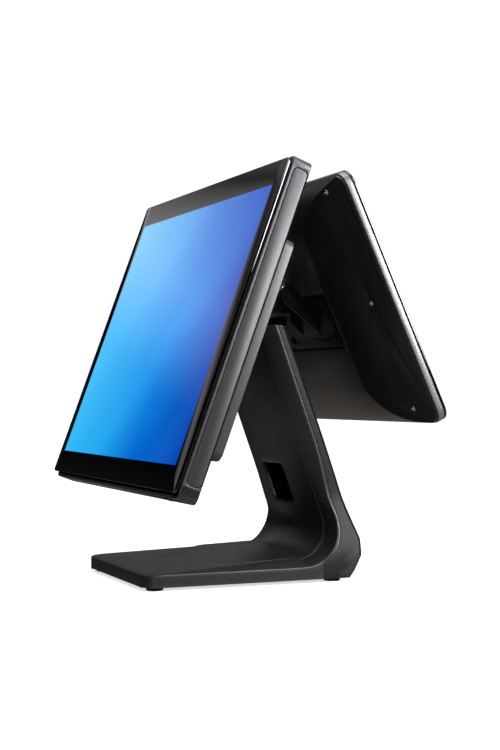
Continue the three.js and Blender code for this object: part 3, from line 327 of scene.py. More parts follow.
def gloss_finish(name, dark, light, rough, wave_mm):
    """Glossy moulded plastic with a faint waviness and fine hairlines."""
    shader = Shader(name, Coat_Weight=0.25, Coat_Roughness=0.06)
    clouds = shader.noise(60, 2)
    base = shader.ramp(clouds, [(0.3, dark), (0.7, light)])
    shader.colour(shader.mix(shader.edges(), base, (0.06, 0.06, 0.065)))
    hairlines = shader.noise(0.6, 4, 0.7, (1, 12, 1))
    shader.roughness(shader.spread(hairlines, rough - 0.03, rough + 0.04))
    shader.bump(shader.noise(wave_mm, 1), 0.05, 0.15)
    return shader.material


def metal_finish(name, dark, light, rough, stretch=(1, 1, 1), grain_mm=0.5):
    shader = Shader(name, Metallic=1.0)
    grain = shader.noise(grain_mm, 3, 0.6, stretch)
    base = shader.ramp(grain, [(0.25, dark), (0.75, light)])
    shader.colour(shader.mix(shader.edges(), base, light))
    shader.roughness(shader.spread(grain, rough - 0.07, rough + 0.1))
    shader.bump(grain, 0.02, 0.4)
    return shader.material


def rubber_finish():
    shader = Shader("rubber", Specular_IOR_Level=0.3)
    dust = shader.noise(6, 4, 0.6)
    shader.colour(shader.ramp(dust, [(0.35, (0.008, 0.008, 0.008)), (0.75, (0.022, 0.022, 0.022))]))
    shader.roughness(shader.spread(dust, 0.7, 0.92))
    shader.bump(shader.noise(0.7, 3), 0.06, 0.6)
    return shader.material


def board_finish():
    shader = Shader("circuit_board")
    cells = shader.node("ShaderNodeTexVoronoi", Scale=180)
    shader.link(shader.coordinates(), cells.inputs["Vector"])
    greens = [(0.1, (0.02, 0.12, 0.05)), (0.6, (0.01, 0.05, 0.02))]
    shader.colour(shader.ramp(cells.outputs["Distance"], greens))
    shader.roughness(shader.spread(shader.noise(3), 0.35, 0.6))
    shader.bump(cells.outputs["Distance"], 0.2, 0.5)
    return shader.material


def border_glass_finish():
    """Cover glass with a black print behind it: smooth, with faint smudges."""
    shader = Shader("black_border_glass", Coat_Weight=0.6, Coat_Roughness=0.02)
    smudges = shader.noise(35, 4, 0.6)
    shader.colour(shader.ramp(smudges, [(0.3, (0.0008, 0.0008, 0.0009)), (0.8, (0.0015, 0.0015, 0.0017))]))
    shader.roughness(shader.spread(smudges, 0.03, 0.07))
    shader.bump(shader.noise(50, 1), 0.02, 0.05)
    return shader.material


def wallpaper_finish():
    """The lit screen: a plain blue glow, pale on the left and deep on the right, with soft beams."""
    shader = Shader("screen_image", Roughness=0.08)
    place = shader.node("ShaderNodeUVMap")
    place.uv_map = "screen"
    split = shader.node("ShaderNodeSeparateXYZ")
    shader.link(place.outputs["UV"], split.inputs["Vector"])
    across, up = split.outputs["X"], split.outputs["Y"]
    low_row, middle_row, high_row = [
        shader.ramp(across, list(zip((0.0, 0.35, 0.65, 1.0), colours)))
        for colours in (
            ((0.034, 0.50, 0.93), (0.010, 0.36, 0.83), (0.0, 0.14, 0.62), (0.0, 0.05, 0.42)),
            ((0.08, 0.53, 0.95), (0.045, 0.41, 0.92), (0.01, 0.28, 0.82), (0.0, 0.055, 0.47)),
            ((0.18, 0.53, 0.86), (0.12, 0.41, 0.84), (0.06, 0.21, 0.68), (0.03, 0.10, 0.54)))]
    lower_half = shader.mix(shader.window(up, 0.0, 0.5), low_row, middle_row)
    base = shader.mix(shader.window(up, 0.5, 1.0), lower_half, high_row)

    beams = shader.node("ShaderNodeTexWave", Scale=0.7, Distortion=1.2, Detail=1.0)
    turn = shader.node("ShaderNodeMapping", Rotation=(0, 0, math.radians(38)))
    shader.link(place.outputs["UV"], turn.inputs["Vector"])
    shader.link(turn.outputs["Vector"], beams.inputs["Vector"])
    streak = shader.ramp(beams.outputs["Fac"], [(0.5, (0.0, 0.0, 0.0)), (1.0, (0.004, 0.02, 0.04))])
    image = shader.mix(1.0, base, streak, "ADD")
    shader.link(image, shader.bsdf.inputs["Emission Color"])
    shader.bsdf.inputs["Emission Strength"].default_value = 1.0
    shader.bsdf.inputs["Base Color"].default_value = (0.0005, 0.001, 0.002, 1)
    return shader.material


POWDER = casting_finish()
COVER = textured_finish("cover_plastic", (0.005, 0.0047, 0.0045), (0.009, 0.0085, 0.008),
                        (0.03, 0.03, 0.03), rough=0.5, grain_mm=0.8, grain_depth=0.04, specular=0.3)
GRAINED = textured_finish("grained_plastic", (0.013, 0.0128, 0.0155), (0.019, 0.0188, 0.022),
                          (0.07, 0.07, 0.075), rough=0.40, grain_mm=0.7, grain_depth=0.07, specular=0.75)
INLAY = textured_finish("inlay_plastic", (0.012, 0.0118, 0.0145), (0.018, 0.0178, 0.021),
                        (0.06, 0.06, 0.065), rough=0.42, grain_mm=0.55, grain_depth=0.08, specular=0.75)
SHELL = textured_finish("shell_plastic", (0.011, 0.0108, 0.0104), (0.015, 0.0148, 0.0143),
                        (0.06, 0.06, 0.06), rough=0.34, grain_mm=1.1, grain_depth=0.01)
BAND = textured_finish("band_plastic", (0.11, 0.11, 0.115), (0.145, 0.145, 0.15),
                       (0.26, 0.26, 0.27), rough=0.3, grain_mm=1.5, grain_depth=0.02, metallic=0.4)
BUTTON = gloss_finish("button_plastic", (0.006, 0.006, 0.007), (0.01, 0.01, 0.011), 0.2, 5)
BORDER = border_glass_finish()
WALLPAPER = wallpaper_finish()
RUBBER = rubber_finish()
BLACK_STEEL = textured_finish("black_steel", (0.004, 0.004, 0.004), (0.007, 0.007, 0.007),
                              (0.015, 0.015, 0.015), rough=0.5, grain_mm=1.2, grain_depth=0.03, specular=0.2)
STEEL = metal_finish("steel", (0.33, 0.33, 0.34), (0.5, 0.5, 0.52), 0.32, (1, 1, 14))
CHROME = metal_finish("chrome", (0.7, 0.7, 0.72), (0.85, 0.85, 0.87), 0.14, (1, 1, 1), 2)
ALUMINIUM = metal_finish("aluminium", (0.45, 0.45, 0.46), (0.6, 0.6, 0.61), 0.38, (12, 1, 1))
BOARD = board_finish()


# ---- mesh helpers

def lerp(a, b, t):
    return a + (b - a) * t


def clamp01(t):
    return max(0.0, min(1.0, t))


def smoothstep(x, low, high):
    t = clamp01((x - low) / (high - low))
    return t * t * (3 - 2 * t)


def show(name, data):
    """A new object for a mesh, a light or a camera, linked to the scene."""
    made = bpy.data.objects.new(name, data)
    bpy.context.scene.collection.objects.link(made)
    return made


def solid(points, faces):
    """A closed mesh object from points in millimetres, welded and with its normals outwards."""
    mesh = bpy.data.meshes.new("solid")
    mesh.from_pydata([tuple(p) for p in points], [], faces)
    made = show("solid", mesh)
    edit(made, weld)
    return made


def edit(made, change):
    work = bmesh.new()
    work.from_mesh(made.data)
    change(work)
    work.to_mesh(made.data)
    work.free()


def weld(work, distance=0.004):
    bmesh.ops.remove_doubles(work, verts=work.verts, dist=distance)
    bmesh.ops.dissolve_degenerate(work, edges=work.edges, dist=distance)
    bmesh.ops.recalc_face_normals(work, faces=work.faces)


def prism(outline, low, high, axis="y"):
    """outline extruded from low to high. It is drawn in the two other axes, in X, Y, Z order."""
    def point(a, b, along):
        return {"x": (along, a, b), "y": (a, along, b), "z": (a, b, along)}[axis]

    count = len(outline)
    points = [point(a, b, along) for along in (low, high) for a, b in outline]
    faces = [tuple(range(count)), tuple(range(count, 2 * count))]
    for i in range(count):
        j = (i + 1) % count
        faces.append((i, j, count + j, count + i))
    return solid(points, faces)


def rounded(a0, a1, b0, b1, radius, steps=7):
    points = []
    corners = [(a1 - radius, b0 + radius), (a1 - radius, b1 - radius),
               (a0 + radius, b1 - radius), (a0 + radius, b0 + radius)]
    for quarter, (ca, cb) in enumerate(corners):
        for step in range(steps + 1):
            angle = math.pi / 2 * (quarter - 1 + step / steps)
            points.append((ca + radius * math.cos(angle), cb + radius * math.sin(angle)))
    return points


def block(x0, x1, y0, y1, z0, z1):
    return prism([(x0, z0), (x1, z0), (x1, z1), (x0, z1)], y0, y1)


def lathe(profile, steps=28):
    """Half profile of (radius, height) points turned about the Y axis."""
    points = []
    for radius, height in profile:
        for step in range(steps):
            angle = 2 * math.pi * step / steps
            points.append((radius * math.cos(angle), height, radius * math.sin(angle)))
    faces = []
    for ring in range(len(profile) - 1):
        for step in range(steps):
            after = (step + 1) % steps
            faces.append((ring * steps + step, ring * steps + after,
                          (ring + 1) * steps + after, (ring + 1) * steps + step))
    return solid(points, faces)


def apply_modifiers(made):
    bpy.context.view_layer.update()
    graph = bpy.context.evaluated_depsgraph_get()
    mesh = bpy.data.meshes.new_from_object(made.evaluated_get(graph))
    made.modifiers.clear()
    made.data = mesh
    return made


def round_edges(made, width, steps, limit):
    """Rounds the edges that turn by more than limit degrees. The width is in the mesh's own unit."""
    modifier = made.modifiers.new("edges", "BEVEL")
    modifier.width = width
    modifier.segments = steps
    modifier.limit_method = "ANGLE"
    modifier.angle_limit = math.radians(limit)
    modifier.use_clamp_overlap = True
    apply_modifiers(made)


def split_at(work, planes):
    """Cuts every face along each plane, given as a point and a normal."""
    for point, normal in planes:
        every = work.verts[:] + work.edges[:] + work.faces[:]
        bmesh.ops.bisect_plane(work, geom=every, plane_co=point, plane_no=normal)


def bezier(start, control, end, steps):
    """Points of a quadratic curve, both ends included."""
    points = []
    for step in range(steps + 1):
        t = step / steps
        points.append(tuple((1 - t) ** 2 * s + 2 * t * (1 - t) * c + t * t * e
                            for s, c, e in zip(start, control, end)))
    return points


def combine(target, tools, operation):
    """Joins, cuts or intersects target with each tool, and removes the tools."""
    for tool in tools:
        modifier = target.modifiers.new("combine", "BOOLEAN")
        modifier.operation = operation
        modifier.object = tool
        modifier.solver = "EXACT"
    apply_modifiers(target)
    for tool in tools:
        bpy.data.objects.remove(tool)
    return target


def cut(target, *tools):
    return combine(target, tools, "DIFFERENCE")


def piece(made, name, unit, materials, node, bevel=0.5, steps=2, limit=35):
    """Names, places and finishes a solid drawn in millimetres, hides the CAD node it stands for and parents
    it to its body.
    """
    place, body = unit
    made.name = name
    made.data.name = name
    made.data.transform(place @ Matrix.Scale(MM, 4))
    if bevel:
        round_edges(made, bevel * MM, steps, limit)
        edit(made, lambda work: weld(work, 1e-6))
    made.data.shade_smooth()
    made.data.set_sharp_from_angle(angle=math.radians(32))
    indices = [polygon.material_index for polygon in made.data.polygons]
    made.data.materials.clear()
    for material in materials:
        made.data.materials.append(material)
    made.data.polygons.foreach_set("material_index", indices)
    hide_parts(node)
    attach(made, body)
    return made


def refine(node, unit, material, bevel=0.4, limit=50):
    """A finished copy of a CAD node: flat faces merged, edges rounded."""
    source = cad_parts[node]
    made = show(node + "_finished", source.data.copy())

    def merge(work):
        bmesh.ops.remove_doubles(work, verts=work.verts, dist=1e-6)
        bmesh.ops.dissolve_limit(work, angle_limit=math.radians(0.5), verts=work.verts, edges=work.edges)

    edit(made, merge)
    made.data.transform(Matrix.Scale(1 / MM, 4))
    in_place = (Matrix.Identity(4), unit[1])
    return piece(made, node + "_finished", in_place, [material], node, bevel, 2, limit)


# ---- stand: the crowned sheet

def base_top(y):
    return BASE_TOP_START + BASE_TOP_SLOPE * y


ELBOW_END_Y = ELBOW_Y + ELBOW_RADIUS * math.cos(NECK_LEAN)
ELBOW_END_Z = ELBOW_Z + ELBOW_RADIUS * math.sin(NECK_LEAN)
RIDGE_RADIUS = ELBOW_RADIUS + ELBOW_CHAMFER_DEPTH + CASTING_BACK


def neck_front(z):
    return ELBOW_END_Y - math.tan(NECK_LEAN) * (z - ELBOW_END_Z)


def side_half_width(z):
    return lerp(BASE_HALF_WIDTH, NECK_HALF_WIDTH, smoothstep(z, FLARE_BOTTOM, FLARE_TOP))


def elbow_point(radius, angle):
    """A point on an arc about the elbow's centre, seen from the side."""
    return (ELBOW_Y + radius * math.cos(angle), ELBOW_Z + radius * math.sin(angle))


def chamfer_depth(z):
    return lerp(ELBOW_CHAMFER_DEPTH, NECK_CHAMFER_DEPTH, smoothstep(z, ELBOW_END_Z, 115))


def plan_scale(y):
    """The base's width at y as a share of its full width: less than 1 at its rounded front corners."""
    if y >= BASE_CORNER_RADIUS:
        return 1.0
    inward = BASE_CORNER_RADIUS - max(y, 0)
    half = BASE_HALF_WIDTH - BASE_CORNER_RADIUS + math.sqrt(max(BASE_CORNER_RADIUS ** 2 - inward ** 2, 0))
    return half / BASE_HALF_WIDTH


class Station:
    """One section of the sheet: where it is, which way it faces and its shape across X."""

    def __init__(self, y, z, facing, edge, side, drop, tongue, crown, back, groove=TONGUE_GROOVE):
        self.y, self.z, self.facing = y, z, facing
        self.edge, self.side, self.drop = edge, side, drop
        self.tongue, self.crown, self.groove = tongue, crown, groove
        self.back = back
        self.level = None


def soft_corner(before, corner, after, reach):
    """Points of a small curve that rounds a corner of the section."""
    def towards(target):
        length = math.dist(corner, target)
        share = min(reach, 0.45 * length) / max(length, 1e-6)
        return tuple(lerp(c, t, share) for c, t in zip(corner, target))

    return bezier(towards(before), corner, towards(after), 3)


def half_section(station, inset):
    """From the middle out to the side: (x, lift) points of the sheet, inset by a wall."""
    tongue = min(station.tongue, station.edge - 3 - inset)
    points = []
    for step in range(CROWN_STEPS + 1):
        across = step / CROWN_STEPS
        points.append((tongue * across, station.crown * (1 - across * across)))
    groove = 0 if inset else station.groove
    points += [(tongue + 0.4, -groove), (tongue + 1.0, 0)]
    edge = (station.edge - inset, 0)
    side = (station.side - inset, -station.drop)
    points += soft_corner((tongue + 1.0, 0), edge, side, 1.2)
    points += soft_corner(edge, side, (side[0], side[1] - 2), 0.8)
    return [(x, lift - inset) for x, lift in points]


def sheet_row(station, inset):
    """The whole section from left to right as points in space."""
    half = half_section(station, inset)
    scale = plan_scale(station.y)
    row = []
    for sign, x, lift in [(-1, *p) for p in reversed(half[1:])] + [(1, *p) for p in half]:
        y0, z0 = station.y, station.z
        if station.level is not None:
            y0 = neck_front(station.level - lift * station.facing[1])
            z0 = station.level - lift * station.facing[1]
        row.append(Vector((sign * x * scale, y0 + station.facing[0] * lift, z0 + station.facing[1] * lift)))
    return row


def base_section(y):
    along = clamp01((y - TONGUE_START) / (TONGUE_END - TONGUE_START))
    spread = along ** 0.85
    return {
        "edge": BASE_HALF_WIDTH - lerp(BASE_MARGIN.front, BASE_MARGIN.rear, clamp01(y / ELBOW_Y)),
        "side": BASE_HALF_WIDTH,
        "tongue": max(10, TONGUE_HALF_WIDTH * spread),
        "crown": CROWN * spread ** 2,
    }


def back_path(part):
    """The casting's rear side line under the elbow, part 0 to 1: floor, seam, then the ridge."""
    join = elbow_point(RIDGE_RADIUS, SEAM_ANGLE)
    path = [(ELBOW_Y, BASE_BOTTOM), (SEAM_Y, BASE_BOTTOM), (SEAM_Y, SEAM_TOP), join]
    lengths = [math.dist(a, b) for a, b in zip(path, path[1:])]
    left = part * sum(lengths)
    for (a, b), length in zip(zip(path, path[1:]), lengths):
        if left <= length:
            return tuple(lerp(p, q, left / length) for p, q in zip(a, b))
        left -= length
    return path[-1]


def base_stations(up):
    stations = [Station(0, BASE_BOTTOM, up, drop=0, back=(0, BASE_BOTTOM), groove=0, **base_section(0))]
    for step in range(7):
        turn = math.pi / 2 * step / 6
        y = BASE_FRONT_BEVEL * (1 - math.cos(turn))
        z = lerp(BASE_FRONT_TOP, base_top(BASE_FRONT_BEVEL), math.sin(turn))
        drop = max(0, z - BASE_SIDE_TOP)
        stations.append(Station(y, z, up, drop=drop, back=(y, BASE_BOTTOM), groove=0, **base_section(y)))
    for y in [5, 7, 9, 11, 13, 18, 23] + list(range(TONGUE_START, ELBOW_Y, 4)):
        groove = TONGUE_GROOVE if y > TONGUE_START else 0
        stations.append(Station(y, base_top(y), up, drop=base_top(y) - BASE_SIDE_TOP,
                                back=(y, BASE_BOTTOM), groove=groove, **base_section(y)))
    return stations


def elbow_stations(slope):
    stations = []
    low_part = (math.pi / 2 + SEAM_ANGLE) / (math.pi / 2 + NECK_LEAN)
    for step in range(ELBOW_STEPS + 1):
        part = step / ELBOW_STEPS
        angle = lerp(-math.pi / 2 + slope, NECK_LEAN, part)
        y, z = elbow_point(ELBOW_RADIUS, angle)
        back = back_path(part / low_part) if part < low_part else elbow_point(RIDGE_RADIUS, angle)
        stations.append(Station(
            y, z, (-math.cos(angle), -math.sin(angle)),
            edge=lerp(BASE_HALF_WIDTH - BASE_MARGIN.rear, NECK_FRONT_HALF_WIDTH + NECK_FRONT_FLARE, part),
            side=side_half_width(z), drop=ELBOW_CHAMFER_DEPTH,
            tongue=lerp(TONGUE_HALF_WIDTH, NECK_TONGUE_HALF_WIDTH, part), crown=CROWN, back=back))
    return stations


def neck_stations():
    stations = []
    facing = (-math.cos(NECK_LEAN), -math.sin(NECK_LEAN))
    for z in NECK_LEVELS:
        drop = chamfer_depth(z)
        flare = lerp(NECK_FRONT_FLARE, 0, smoothstep(z, ELBOW_END_Z, 95))
        station = Station(
            neck_front(z), z, facing, edge=NECK_FRONT_HALF_WIDTH + flare, side=side_half_width(z),
            drop=drop, tongue=NECK_TONGUE_HALF_WIDTH, crown=CROWN,
            back=(neck_front(z) + (drop + CASTING_BACK) / math.cos(NECK_LEAN), z))
        if z > 200:
            station.level = z
        stations.append(station)
    return stations


def sheet_stations():
    slope = math.atan(BASE_TOP_SLOPE)
    return base_stations((-math.sin(slope), math.cos(slope))) + elbow_stations(slope) + neck_stations()


def skin(loops):
    """Faces over closed loops of equal length, with strips that close both ends."""
    count = len(loops[0])
    points = [p for loop in loops for p in loop]
    faces = []
    for i in range(len(loops) - 1):
        for j in range(count):
            after = (j + 1) % count
            faces.append((i * count + j, i * count + after, (i + 1) * count + after, (i + 1) * count + j))
    for end in (0, len(loops) - 1):
        for j in range(count // 2 - 1):
            a, b = end * count + j, end * count + j + 1
            c, d = end * count + count - 2 - j, end * count + count - 1 - j
            faces.append((a, b, c, d))
    return solid(points, faces)


def side_points(start, end, inset, scale):
    """Points down a side wall from start to end, following the stand's width at each height."""
    points = []
    sign = 1 if start.x > 0 else -1
    for row in range(1, SIDE_ROWS + 1):
        t = row / SIDE_ROWS
        y, z = lerp(start.y, end[0], t), lerp(start.z, end[1], t)
        points.append(Vector((sign * (side_half_width(z) - inset) * scale, y, z)))
    return points


def casting_solid():
    """The sheet with its side walls, open underneath and behind."""
    stations = sheet_stations()
    loops = []
    for station in stations:
        scale = plan_scale(station.y)
        outer = sheet_row(station, 0)
        right = side_points(outer[-1], station.back, 0, scale)
        left = side_points(outer[0], station.back, 0, scale)
        inner = sheet_row(station, CASTING_WALL)
        inner_right = side_points(inner[-1], station.back, CASTING_WALL, scale)
        inner_left = side_points(inner[0], station.back, CASTING_WALL, scale)
        if station.level is not None:
            back_y = station.back[0]
            inner = [Vector((p.x, back_y, station.level)) for p in inner]
            inner_right = [Vector((inner[-1].x, back_y, station.level))] * SIDE_ROWS
            inner_left = [Vector((inner[0].x, back_y, station.level))] * SIDE_ROWS
        top = list(reversed(left)) + outer + right
        bottom = list(reversed(inner_left)) + inner + inner_right
        if station.y < BASE_WALL:
            for p in bottom:
                p.y = max(p.y, BASE_WALL)
                p.z = max(p.z, BASE_BOTTOM)
        loops.append(top + list(reversed(bottom)))
    return skin(loops)


# ---- stand: pieces

def cable_hole():
    """A rounded block that stands square on the neck's front."""
    h = CABLE_HOLE
    outline = rounded(-h.width / 2, h.width / 2, -h.height / 2, h.height / 2, h.radius)
    made = prism(outline, -h.through / 2, h.through / 2)
    turn = Matrix.Rotation(NECK_LEAN, 4, "X")
    made.data.transform(Matrix.Translation((0, neck_front(h.z), h.z)) @ turn)
    return made


def soften_hole(made, centre, reach, width):
    """Bevels the front rim of the cable hole: the edges where its wall meets the sheet's front."""
    def change(work):
        rim = []
        for edge in work.edges:
            if len(edge.link_faces) != 2 or (edge.verts[0].co - centre).length > reach:
                continue
            facing = [face.normal.y for face in edge.link_faces]
            turn = edge.calc_face_angle(0)
            if min(facing) < -0.85 and turn > 1.0:
                rim.append(edge)
        bmesh.ops.bevel(work, geom=rim, offset=width, segments=2, affect="EDGES", profile=0.5)
    edit(made, change)


def make_casting():
    made = casting_solid()
    wide = POST_HALF_WIDTH
    posts = [block(x - wide, x + wide, y - wide, y + wide, BASE_BOTTOM + 2, base_top(y) - 1.5)
             for x, y in BASE_SCREWS]
    combine(made, posts, "UNION")
    slot = BRACKET_SLOT
    opening = block(-slot.half, slot.half, slot.front, slot.back,
                    NECK_TOP - slot.depth, NECK_TOP + 5)
    r = BASE_PILOT.radius
    bores = [prism(rounded(x - r, x + r, y - r, y + r, r - 0.01, 4), 0, BASE_PILOT.top, "z")
             for x, y in BASE_SCREWS]
    cut(made, cable_hole(), opening, *bores)
    z = CABLE_HOLE.z
    crown = Vector((0, neck_front(z) - CROWN * math.cos(NECK_LEAN), z))
    soften_hole(made, crown, reach=40, width=0.7)
    return piece(made, "stand_sheet", STAND, [POWDER], "stand_casting", 0)


def cover_stations():
    """Pairs of side-view points of the rear cover, from the floor up: its front line and its back line."""
    seam = SEAM_Y + GAP

    def on_arc(angle):
        return elbow_point(RIDGE_RADIUS + GAP, angle)

    def neck(z):
        return (neck_front(z) + (chamfer_depth(z) + CASTING_BACK + GAP) / math.cos(NECK_LEAN), z)

    def back(z):
        below = max(0, z - (NECK_TOP - COVER_TOP_RADIUS))
        rounding = COVER_TOP_RADIUS - math.sqrt(COVER_TOP_RADIUS ** 2 - below ** 2)
        for (y0, z0), (y1, z1) in zip(COVER_BACK, COVER_BACK[1:]):
            if z <= z1:
                return (lerp(y0, y1, (z - z0) / (z1 - z0)) - rounding, z)
        return COVER_BACK[-1]

    pairs = [
        ((seam, BASE_BOTTOM), (181, BASE_BOTTOM)),
        ((seam, 8), (183.6, 8)),
        ((seam, 13), (186.2, 13)),
        ((seam, SEAM_TOP), (190.2, 20.7)),
        (on_arc(SEAM_ANGLE), (190.3, 27)),
        (on_arc(-0.35), COVER_BACK[0]),
        (on_arc(-0.17), back(40.5)),
        (on_arc(0), back(47)),
        (on_arc(0.17), back(53)),
        (on_arc(NECK_LEAN), back(ELBOW_END_Z + 4)),
    ]
    pairs += [(neck(z), back(z)) for z in COVER_LEVELS]
    for step in range(COVER_TOP_STEPS + 1):
        turn = math.pi / 2 * step / COVER_TOP_STEPS
        z = NECK_TOP - COVER_TOP_RADIUS * (1 - math.sin(turn))
        pairs.append((neck(z), back(z)))
    return pairs


def cover_loop(front, back):
    """The cover's outer and inner outline between a point of its front line and one of its back line."""
    (front_y, front_z), (back_y, back_z) = front, back
    half = side_half_width(back_z)
    bulge = COVER_BULGE if back_z > BASE_BOTTOM + 1 else 0
    right = []
    for row in range(SIDE_ROWS + 1):
        t = row / SIDE_ROWS
        y, z = lerp(front_y, back_y, t), lerp(front_z, back_z, t)
        right.append(Vector((side_half_width(z), y, z)))
    across = (half - COVER_EDGE, 20, -20, COVER_EDGE - half)
    left = [Vector((-p.x, p.y, p.z)) for p in reversed(right)]
    outer = right + [Vector((x, back_y + bulge, back_z)) for x in across] + left
    inner = []
    for p in outer:
        x = (abs(p.x) - COVER_WALL) * (1 if p.x > 0 else -1)
        y = p.y if abs(p.y - front_y) < 0.01 else p.y - COVER_WALL - 0.5
        inner.append(Vector((x, max(y, front_y), p.z)))
    return outer + list(reversed(inner))


def make_rear_cover():
    made = skin([cover_loop(front, back) for front, back in cover_stations()])
    lid_half = side_half_width(NECK_TOP) - 1
    low, high = NECK_TOP - COVER_WALL, NECK_TOP - 0.01
    lid = COVER_LID
    side = [(lid.front, low), (lid.back_low, low), (lid.back_high, high), (lid.front, high)]
    combine(made, [prism(side, -lid_half, lid_half, "x")], "UNION")
    way = CABLE_EXIT
    hole = prism(rounded(-way.half, way.half, way.bottom, way.top, way.radius),
                 way.front, way.back)
    seats = [screw_seat(COVER_SEAT_RADIUS, x, COVER_SCREW_SEAT, COVER_SCREW_Z) for x in COVER_SCREW_X]
    cut(made, hole, *seats)
    return piece(made, "neck_cover_shell", STAND, [COVER], "neck_rear_cover", 0.8, 2, 18)


def screw_seat(radius, x, y, z):
    """A round cutting tool that opens backwards from a screw head's seat."""
    seat = lathe([(0, 0), (radius, 0), (radius, 20), (0, 20)], 20)
    seat.data.transform(Matrix.Translation((x, y, z)))
    return seat


def screw_solid(shank, length, head, height):
    """A pan-head screw with a cross recess, tip at the origin, along +Y."""
    crown = length + height
    profile = [(0, 0), (shank * 0.7, 0), (shank, shank * 0.5), (shank, length), (head * 0.97, length),
               (head, length + 0.15 * height), (head * 0.97, length + 0.5 * height),
               (head * 0.85, length + 0.78 * height), (head * 0.6, length + 0.94 * height), (0, crown)]
    arm, half = head * 0.55, head * 0.11
    low, high = crown - 0.55 * height, crown + OVERCUT
    cross = block(-arm, arm, low, high, -half, half), block(-half, half, low, high, -arm, arm)
    return cut(lathe(profile, 24), *cross)


def add_screws(prefix, points, sizes, unit, material, turn=Matrix.Identity(4)):
    """One screw of the same sizes at each (x, y, z) of its tip."""
    for index, point in enumerate(points):
        made = screw_solid(*sizes)
        made.data.transform(Matrix.Translation(point) @ turn)
        node = f"{prefix}_{index + 1}"
        piece(made, f"{node}_detailed", unit, [material], node, 0)


def make_foot(node, x, y):
    """A rubber foot with a rounded tread edge and a shallow ring."""
    top = BASE_BOTTOM - GAP
    profile = [(0, 0.35), (2.6, 0.35), (3.0, 0), (6.2, 0), (6.75, 0.2), (7, 0.75), (7, top - 0.3),
               (6.8, top), (0, top)]
    made = lathe(profile, 36)
    made.data.transform(Matrix.Translation((x, y, 0)) @ Matrix.Rotation(math.pi / 2, 4, "X"))
    return piece(made, node + "_turned", STAND, [RUBBER], node, 0)


def build_stand():
    make_casting()
    make_rear_cover()
    refine("base_bottom_plate", STAND, BLACK_STEEL, 0.2, 60)
    for row in ("front", "rear"):
        for side, sign in zip(SIDES, (-1, 1)):
            make_foot(f"foot_{row}_{side}", sign * FEET.x, getattr(FEET, row))
    down = Matrix.Rotation(-math.pi / 2, 4, "X")
    tips = [(x, y, BASE_BOTTOM - GAP + BASE_SCREW[1]) for x, y in BASE_SCREWS]
    add_screws("base_screw", tips, BASE_SCREW, STAND, STEEL, down)
    tips = [(x, COVER_SCREW_SEAT + GAP - COVER_SCREW[1], COVER_SCREW_Z) for x in COVER_SCREW_X]
    add_screws("cover_screw", tips, COVER_SCREW, STAND, BLACK_STEEL)
    refine("neck_hinge_bracket", STAND, BLACK_STEEL)
    for side in SIDES:
        refine(f"friction_washer_{side}", STAND, STEEL, 0.2, 60)


# ---- cashier's head

def lay_out_screen(made, screen):
    """Cuts the screen's rectangle out of the glass face and gives it its own material and coordinates."""
    half, bottom, top = screen.half, screen.bottom, screen.top

    def change(work):
        split_at(work, [((half, 0, 0), (1, 0, 0)), ((-half, 0, 0), (1, 0, 0)),
                        ((0, 0, bottom), (0, 0, 1)), ((0, 0, top), (0, 0, 1))])
        layer = work.loops.layers.uv.new("screen")
        for face in work.faces:
            middle = face.calc_center_median()
            inside = abs(middle.x) < half and bottom < middle.z < top
            if inside and middle.y < 0.01:
                face.material_index = 1
            for loop in face.loops:
                co = loop.vert.co
                loop[layer].uv = ((co.x + half) / (2 * half), (co.z - bottom) / (top - bottom))
    edit(made, change)


def make_touch_glass():
    made = prism(rounded(-MAIN_HALF_WIDTH, MAIN_HALF_WIDTH, 0, MAIN_HEIGHT, 3), 0, MAIN_GLASS)
    round_edges(made, 0.6, 2, 40)
    lay_out_screen(made, SCREEN)
    return piece(made, "touch_glass_lit", MAIN, [BORDER, WALLPAPER],
                 "main_touch_glass", 0)


def colour_corner_caps(made):
    """The housing's two bottom corners take the second, glossy black material."""
    side, top = MAIN_HALF_WIDTH - CORNER_CAP.width, HOUSING.bottom + CORNER_CAP.height

    def change(work):
        split_at(work, [((side, 0, 0), (1, 0, 0)), ((-side, 0, 0), (1, 0, 0)), ((0, 0, top), (0, 0, 1))])
        for face in work.faces:
            middle = face.calc_center_median()
            face.material_index = 1 if abs(middle.x) > side and middle.z < top else 0
    edit(made, change)


def button_outline(margin, radius):
    b = POWER_BUTTON
    across, along = b.width / 2 + margin, b.depth / 2 + margin
    return rounded(b.x - across, b.x + across, b.y - along, b.y + along, radius)


def make_housing():
    h, w, c = HOUSING, HOUSING_WINDOW, SIDE_COVER
    half = MAIN_HALF_WIDTH
    outline = rounded(-half, half, h.bottom, h.top, HOUSING_RADIUS)
    made = prism(outline, h.front, h.back)
    inner = rounded(h.side - half, half - h.side, h.bottom + h.wall, h.top - h.wall, 3)
    hollow = prism(inner, h.front - OVERCUT, h.back - h.wall)
    window = block(-w.half, w.half, h.back - h.wall - OVERCUT, h.back + OVERCUT,
                   w.bottom, w.top)
    button_hole = prism(button_outline(GAP, 2), -10, 0, "z")
    recess = rounded(c.front - GAP, c.back + GAP, c.bottom - GAP, c.top + GAP, c.radius)
    floor = half - c.depth - GAP
    recesses = [prism(recess, low, high, "x") for low, high in ((floor, half + 2), (-half - 2, -floor))]
    cut(made, hollow, window, button_hole, *recesses)
    colour_corner_caps(made)
    return piece(made, "rear_housing_moulding", MAIN, [GRAINED, BUTTON],
                 "main_rear_housing", 0.7, 3, 40)


def make_side_cover(side, sign):
    c = SIDE_COVER
    low, high = sorted((sign * (MAIN_HALF_WIDTH - c.depth), sign * MAIN_HALF_WIDTH))
    made = prism(rounded(c.front, c.back, c.bottom, c.top, c.radius), low, high, "x")
    return piece(made, f"side_inlay_{side}", MAIN, [INLAY],
                 f"side_cover_{side}", 0.35, 2, 40)


